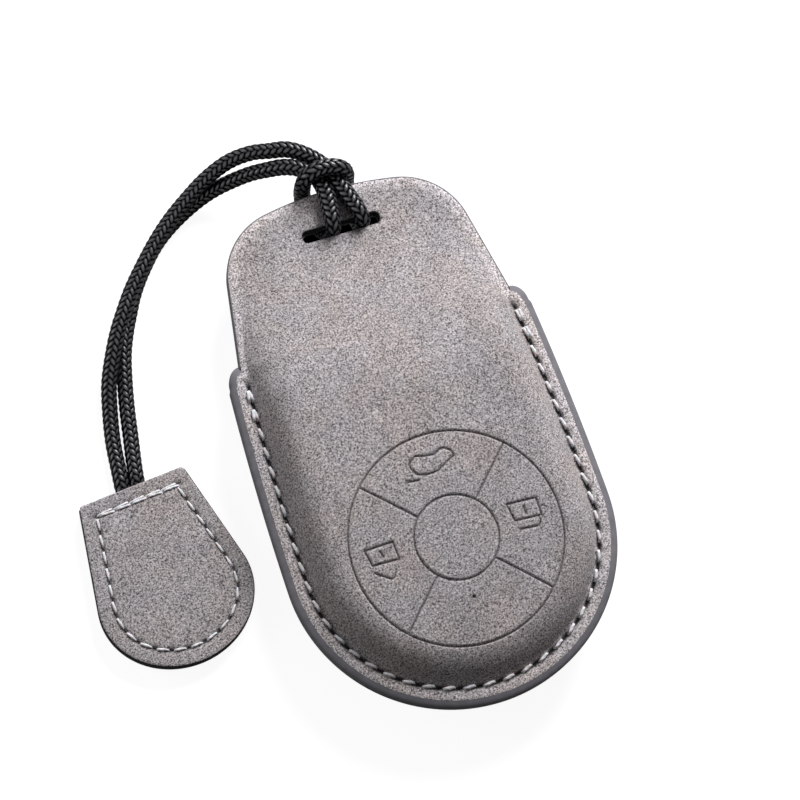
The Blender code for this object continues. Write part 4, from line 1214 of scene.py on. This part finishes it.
class KEYPOUCH_OT_cord(bpy.types.Operator):
    """Braids the cord: two free strands, the cow hitch between them and the sewn ends in the tag"""

    bl_idname = "key_pouch.cord"
    bl_label = "Braided cord"

    def execute(self, context):
        settings = context.scene.pouch_cord
        path = self.route()
        first, last = (
            int(np.argmin(np.linalg.norm(path - np.array(route[0]) * MM, axis=1)))
            for route in (OUTER_ROUTE, INNER_ROUTE)
        )
        knot, squeeze = self.knot_shape(path, first, last)
        braided = braid(path, settings.diameter / 2 * (1.12 + 0.08 * knot), squeeze, settings)
        outer_middle, inner_middle = int(first * 0.5), int((last + len(path)) / 2)
        cuts = {
            "outer_strand_lower": (0, outer_middle + 1),
            "outer_strand_upper": (outer_middle, first + 1),
            "cow_hitch": (first, last + 1),
            "inner_strand_upper": (last, inner_middle + 1),
            "inner_strand_lower": (inner_middle, len(path)),
        }
        for name, (start, stop) in cuts.items():
            strand = braid_object(name, braided, start, stop)
            if name == "cow_hitch":
                dress(strand, "cord_hitch", "hitch")
                continue
            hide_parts("cord_strand_" + name[:5])
            if name.endswith("upper"):
                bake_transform(strand)
            else:
                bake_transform(strand)
        self.sewn_ends(settings)
        return {"FINISHED"}

    def route(self):
        """The whole path of the cord, from the tag round the hitch and back into the tag."""
        down = np.array([math.sin(TAG_TURN), -math.cos(TAG_TURN), 0])
        outer = [np.array(OUTER_ROUTE[-1]) + down * k for k in (1.6, 0.8)]
        inner = [np.array(INNER_ROUTE[-1]) + down * k for k in (0.8, 1.6)]
        return smooth_route([*outer, *OUTER_ROUTE[::-1], *HITCH_ROUTE[1:-1], *INNER_ROUTE, *inner], CORD_STEP)

    def knot_shape(self, path, first, last):
        """How far each point of the path is in the knot, and how the cord is squeezed there along x, y and z.

        It is pinched in the slot, its two legs over the tongue are flattened sideways against each other,
        and its ends are flattened where they enter the tag.
        """
        y = path[:, 1]
        number = np.arange(len(path))
        knot = smooth_step((number - first + 20) / 40) * smooth_step((last - number + 20) / 40)
        in_slot = knot * (1 - smooth_step((np.abs(y - SLOT_Y) - SLOT_HEIGHT / 3) / SLOT_HEIGHT))
        legs = knot * (1 - smooth_step((y - 68.5 * MM) / (2 * MM)))
        in_tag = (1 - knot) * smooth_step(1 + (TAG_PLACE[1] - y) / (1.2 * MM) * 0.8)
        squeeze = [1 + 0.16 * legs * (1 - in_slot) - 0.06 * knot, 1 - 0.36 * in_slot, 1 - 0.36 * in_tag]
        return knot, np.stack(squeeze, axis=1)

    def sewn_ends(self, settings):
        """The flattened ends between the tag's sheets."""
        for word, across in (("outer", -1.36), ("inner", 1.36)):
            start, stop = (
                tag_place(np.array([[across * MM, y * MM, TAG_THICKNESS / 2]]))[0] for y in (-0.35, -6.25)
            )
            count = int(np.linalg.norm(stop - start) / CORD_STEP)
            path = start + (stop - start) * np.linspace(0, 1, count)[:, None]
            squeeze = np.tile((0.9, 0.9, 0.52), (count, 1))
            braided = braid(path, np.full(count, settings.diameter / 2), squeeze, settings)
            dress(braid_object("sewn_end_" + word, braided, 0, count), "cord_end_" + word, "tag")


# Tag


def tag_place(vertices):
    """Points of the tag's own frame, in the frame of the whole object."""
    cosine, sine = math.cos(TAG_TURN), math.sin(TAG_TURN)
    x = TAG_PLACE[0] + vertices[:, 0] * cosine - vertices[:, 1] * sine
    y = TAG_PLACE[1] + vertices[:, 0] * sine + vertices[:, 1] * cosine
    return np.column_stack([x, y, vertices[:, 2]])


def tag_outline(inset):
    """The tag's outline from its top left corner round the bottom to its top right, then back along the top."""
    squares = np.array([TAG_ROUND_HALF_WIDTH**2, TAG_ROUND_DEPTH**2])
    away = np.array([TAG_TOP_HALF_WIDTH, TAG_ROUND_CENTRE_DEPTH])
    across, along = away**2 - squares
    product = away[0] * away[1]
    touch = math.atan((math.sqrt(product**2 - along * across) - product) / along)
    angle = np.linspace(math.pi - touch, 2 * math.pi + touch, 90)
    normals = ellipse(angle, 1, 1)
    arc = normals * squares / np.sqrt((normals**2 * squares).sum(axis=1))[:, None] - normals * inset
    arc[:, 1] -= TAG_ROUND_CENTRE_DEPTH
    reach = (arc[-1].dot(normals[-1]) + inset * normals[-1][1]) / normals[-1][0]
    left_top, right_top = np.array([-reach, -inset]), np.array([reach, -inset])
    cut = TAG_CORNER - inset
    if cut <= 0:
        line = np.vstack([left_top[None], arc, right_top[None]])
        return spread(line, TAG_STEP), spread(np.stack([right_top, left_top]), TAG_STEP)
    rounded = []
    for top, side_end in ((right_top, arc[-1]), (left_top, arc[0])):
        way = (side_end - top) / np.linalg.norm(side_end - top)
        first, last = top + way * cut, top - np.array([math.copysign(cut, top[0]), 0])
        t = np.linspace(0, 1, 6)[:, None]
        rounded.append((1 - t) ** 2 * first + 2 * t * (1 - t) * top + t**2 * last)
    right, left = rounded[0], rounded[1][::-1]
    return spread(np.vstack([left[-1:], arc, right[:1]]), TAG_STEP), np.vstack([right[1:], left[:-1]])


def tag_ring(inset, step):
    """The tag's outline as one closed loop."""
    return spread(np.vstack(tag_outline(inset)), step, closed=True)


def tag_holes(run):
    """The needle holes along the tag's seam round the sides or along the top."""
    return spread(run, length_of(run) / round(length_of(run) / TAG_STITCH_PITCH))


class KEYPOUCH_OT_tag(bpy.types.Operator):
    """Builds the tag: two leather sheets on a board, black edge paint and white stitches all round"""

    bl_idname = "key_pouch.tag"
    bl_label = "Tag"

    def execute(self, context):
        runs = tag_outline(TAG_STITCH_INSET)
        self.sheets(context.scene.pouch_tag, runs)
        self.edge()
        self.stitches(context.scene.pouch_seams, *runs)
        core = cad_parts["tag_core"]
        core.data.materials.clear()
        core.data.materials.append(material_of(bonded_leather_board))
        return {"FINISHED"}

    def sheets(self, settings, runs):
        outline = tag_ring(0.15 * MM, 0.3 * MM)
        rows = []
        for offset in (0, 0.17, -0.17, 0.34, -0.34, 0.6, -0.6):
            for run in runs:
                rows += beside(run, [offset * MM], 0.24 * MM)
        rows += [tag_ring(inset * MM, 0.35 * MM) for inset in (0.19, 0.25, 0.34, 0.48, 0.75, 1.1, 1.6)]
        near_seam = Distance(np.vstack([spread(run, 0.1 * MM) for run in runs]))
        near_edge = Distance(spread(outline, 0.1 * MM, closed=True))
        field = staggered((-13, 13.4), (-32, 0), (0.7, 0.6))
        field = field[in_loop(field, tag_ring(2.0 * MM, 0.3 * MM))]
        field = field[near_seam(field) > 0.7 * MM]
        holes = [tag_holes(run) for run in runs]
        ways = np.vstack([directions(line) for line in holes])
        holes = np.vstack(holes)

        def level(side):
            def height(spots):
                away = near_edge(spots)
                rise = TAG_THICKNESS / 2 + settings.puff * smooth_step(away / (9 * MM)) * (side > 0)
                rise = rise - TAG_GROOVE[0] * bell(near_seam(spots), TAG_GROOVE[1])
                rise = rise - TAG_HOLE_DEPTH * hole_marks(holes, ways, spots, 0)
                edge = np.clip(1 - away / TAG_EDGE_ROUND, 0, 1)
                return TAG_THICKNESS / 2 + side * (rise - TAG_EDGE_ROUND * (1 - np.sqrt(1 - edge**2 * 0.9)))
            return height

        # The needle holes are darkened in the leather's colour with painted shade
        for side, word in ((1, "front"), (-1, "back")):
            inner = TAG_THICKNESS / 2 + side * (TAG_THICKNESS / 2 - LEATHER)
            sheet = shell(
                f"tag_{word}_leather", side, [outline], rows + [field], [field[::3]], level(side),
                lambda spots, z=inner: np.full(len(spots), z), [nubuck_leather],
                painted_shading=lambda spots: hole_marks(holes, ways, spots, 0), place=tag_place,
            )
            dress(sheet, "tag_" + word, "tag")

    def edge(self):
        low, high = 0.05 * MM, TAG_THICKNESS - 0.16 * MM
        section = [
            (0.3 * MM, low), (0.1 * MM, low + 0.12 * MM), (0, low + 0.4 * MM), (-0.03 * MM, (low + high) / 2),
            (0, high - 0.3 * MM), (0.03 * MM, high), (0.6 * MM, high), (0.6 * MM, low),
        ]
        coat = sweep("tag_black_edge", tag_outline(0)[0], section, black_acrylic_paint, place=tag_place)
        dress(coat, "tag_edge_coat", "tag")

    def stitches(self, settings, seam, top):
        thin = stitch_shape(2.3 * MM, settings.thread_diameter * 0.74, 0.22)
        thick = stitch_shape(3.2 * MM, settings.thread_diameter * 0.7, 0.0)
        round_sides, along_top = middles_of(tag_holes(seam)), middles_of(tag_holes(top))
        pitch = pitch_of(along_top)
        for side, word in ((1, "front"), (-1, "back")):
            z = TAG_THICKNESS / 2 + side * (TAG_THICKNESS / 2 - 0.06 * MM)
            z = z if side > 0 else z + 0.3 * MM
            line = tag_place(lifted(round_sides, z))
            rows = [stitch_rows([line], pitch_of(round_sides), thin, side * 0.05, 0.06, 5, side < 0)]
            top_rows = ((0.17, 0.0, 0.07), (-0.19, 0.06, -0.03))
            for number, (shift, lift, slant) in enumerate(top_rows if side > 0 else top_rows[:1]):
                moved = along_top + np.array([0.35 * number * MM, shift * MM])
                line = tag_place(lifted(moved, z + side * lift * MM))
                rows.append(stitch_rows([line], pitch, thick, slant, 0.05, 11 + number, side < 0))
            sew(f"tag_{word}_stitches", rows, f"tag_{word}_thread", "tag")
        for shape in (thin, thick):
            bpy.data.objects.remove(shape, do_unlink=True)


# Stage


def floor_surface(tree):
    # White background paper, matt and even. The camera sees it glow a little short of white, and the
    # lamps add the rest, so that it is white in the picture and keeps a faint shadow of the object. Under
    # the mouth, where the slot lets the camera through, it is painted black to the camera, a painted shade
    # for the narrow space there.
    seen = add_node(tree, "ShaderNodeLightPath").outputs
    mirrored_ray = add_node(tree, MATH, (seen["Is Glossy Ray"], seen["Is Transmission Ray"]), operation="MAXIMUM")
    # Painted shade: an oval under the slot where the floor is black to the camera
    half_width, half_depth = 9.4 * MM, 2.4 * MM
    painted_shade_spot = add_node(
        tree, "ShaderNodeMapping",
        {
            "Vector": object_place(tree), "Scale": (1 / half_width, 1 / half_depth, 1),
            "Location": (-1.5 * MM / half_width, -(SLOT_Y + 2.2 * MM) / half_depth, 0),
        },
    )
    away = add_node(tree, "ShaderNodeVectorMath", (painted_shade_spot,), operation="LENGTH")
    outside_painted_shade = add_node(tree, RANGE, (away, 0.8, 1.1))
    glow, shade = (add_node(tree, MATH, (outside_painted_shade, level), operation="MULTIPLY") for level in (0.92, 0.3))
    light = add_node(tree, "ShaderNodeEmission", {"Color": (1, 1, 1, 1), "Strength": glow})
    paper = add_node(tree, "ShaderNodeBsdfDiffuse", {"Color": shade})
    ground = add_node(tree, "ShaderNodeAddShader", (light, paper))
    colour = (*bpy.context.scene.pouch_stage.floor_colour, 1)
    dim = add_node(tree, "ShaderNodeBsdfDiffuse", {"Color": colour})
    bright = add_node(tree, "ShaderNodeBsdfDiffuse", {"Color": (0.5, 0.5, 0.5, 1)})
    unseen = add_node(tree, "ShaderNodeMixShader", (mirrored_ray, dim, bright))
    return add_node(tree, "ShaderNodeMixShader", (seen["Is Camera Ray"], unseen, ground))


class KEYPOUCH_OT_stage(bpy.types.Operator):
    """Sets the floor, the lamps, the even light all round and the camera"""

    bl_idname = "key_pouch.stage"
    bl_label = "Stage"

    def execute(self, context):
        settings = context.scene.pouch_stage
        scene = context.scene
        reach = 1.5
        corners = [(-reach, -reach, 0), (reach, -reach, 0), (reach, reach, 0), (-reach, reach, 0)]
        floor = make_object("floor_paper", corners, [(0, 1, 2, 3)], [floor_surface], smooth=False)
        self.lamp("key_lamp", (0.26, 0.38, 0.29), 0.28, settings.key_power)
        self.lamp("fill_lamp", (-0.25, 0.15, 0.10), 0.14, settings.fill_power)
        world = bpy.data.worlds.new("white_room")
        scene.world = world
        world.use_nodes = True
        tree = world.node_tree
        tree.nodes.clear()
        seen = add_node(tree, "ShaderNodeLightPath").outputs
        either = seen["Is Camera Ray"]
        for ray in ("Is Glossy Ray", "Is Transmission Ray"):
            either = add_node(tree, MATH, (either, seen[ray]), operation="MAXIMUM")
        strength = add_node(tree, RANGE, (either, 0, 1, settings.sky, 1))
        sky = add_node(tree, "ShaderNodeBackground", {"Color": (1, 1, 1, 1), "Strength": strength})
        add_node(tree, "ShaderNodeOutputWorld", {"Surface": sky})
        scene.view_settings.view_transform = "Standard"
        data = bpy.data.cameras.new("photo_camera")
        data.lens = settings.lens
        data.sensor_width = 36.0
        data.clip_start = 0.01
        data.clip_end = 10.0
        camera = bpy.data.objects.new("photo_camera", data)
        scene.collection.objects.link(camera)
        columns = Matrix((CAMERA_RIGHT, -Vector(CAMERA_DOWN), -Vector(CAMERA_FORWARD))).transposed()
        camera.matrix_world = Matrix.Translation(CAMERA_PLACE) @ columns.to_4x4()
        scene.camera = camera
        return {"FINISHED"}

    def lamp(self, name, place, size, power):
        data = bpy.data.lights.new(name, "AREA")
        data.shape = "DISK"
        data.size = size
        data.energy = power
        lamp = bpy.data.objects.new(name, data)
        bpy.context.scene.collection.objects.link(lamp)
        lamp.location = place
        aim = Vector((-0.01, 0.02, 0.008))
        lamp.rotation_euler = (aim - Vector(place)).to_track_quat("-Z", "Y").to_euler()


class KEYPOUCH_PT_panel(bpy.types.Panel):
    """Lists the operators and settings of the key pouch"""

    bl_label = "Key pouch"
    bl_idname = "KEYPOUCH_PT_panel"
    bl_space_type = "VIEW_3D"
    bl_region_type = "UI"
    bl_category = "Key pouch"

    def draw(self, context):
        for group, settings, operators in GROUPS:
            box = self.layout.box()
            box.label(text=group)
            data = getattr(context.scene, settings)
            for name in data.__annotations__:
                box.prop(data, name)
            for operator in operators:
                box.operator(operator.bl_idname)


GROUPS = (
    ("Leather", "pouch_leather", (KEYPOUCH_OT_leather, KEYPOUCH_OT_edges)),
    ("Seams", "pouch_seams", (KEYPOUCH_OT_seams,)),
    ("Cord", "pouch_cord", (KEYPOUCH_OT_cord,)),
    ("Tag", "pouch_tag", (KEYPOUCH_OT_tag,)),
    ("Stage", "pouch_stage", (KEYPOUCH_OT_stage,)),
)
SETTINGS = {
    "pouch_leather": PouchSettings,
    "pouch_seams": SeamSettings,
    "pouch_cord": CordSettings,
    "pouch_tag": TagSettings,
    "pouch_stage": StageSettings,
}
CLASSES = (*SETTINGS.values(), *(operator for group in GROUPS for operator in group[2]), KEYPOUCH_PT_panel)


def register():
    for cls in CLASSES:
        bpy.utils.register_class(cls)
    for name, group in SETTINGS.items():
        setattr(bpy.types.Scene, name, PointerProperty(type=group))


def unregister():
    for name in SETTINGS:
        delattr(bpy.types.Scene, name)
    for cls in reversed(CLASSES):
        bpy.utils.unregister_class(cls)


def main():
    register()
    bpy.ops.key_pouch.stage()
    bpy.ops.key_pouch.cord()
    bpy.ops.key_pouch.leather()
    bpy.ops.key_pouch.edges()
    bpy.ops.key_pouch.seams()
    bpy.ops.key_pouch.tag()


if __name__ == "__main__":
    main()
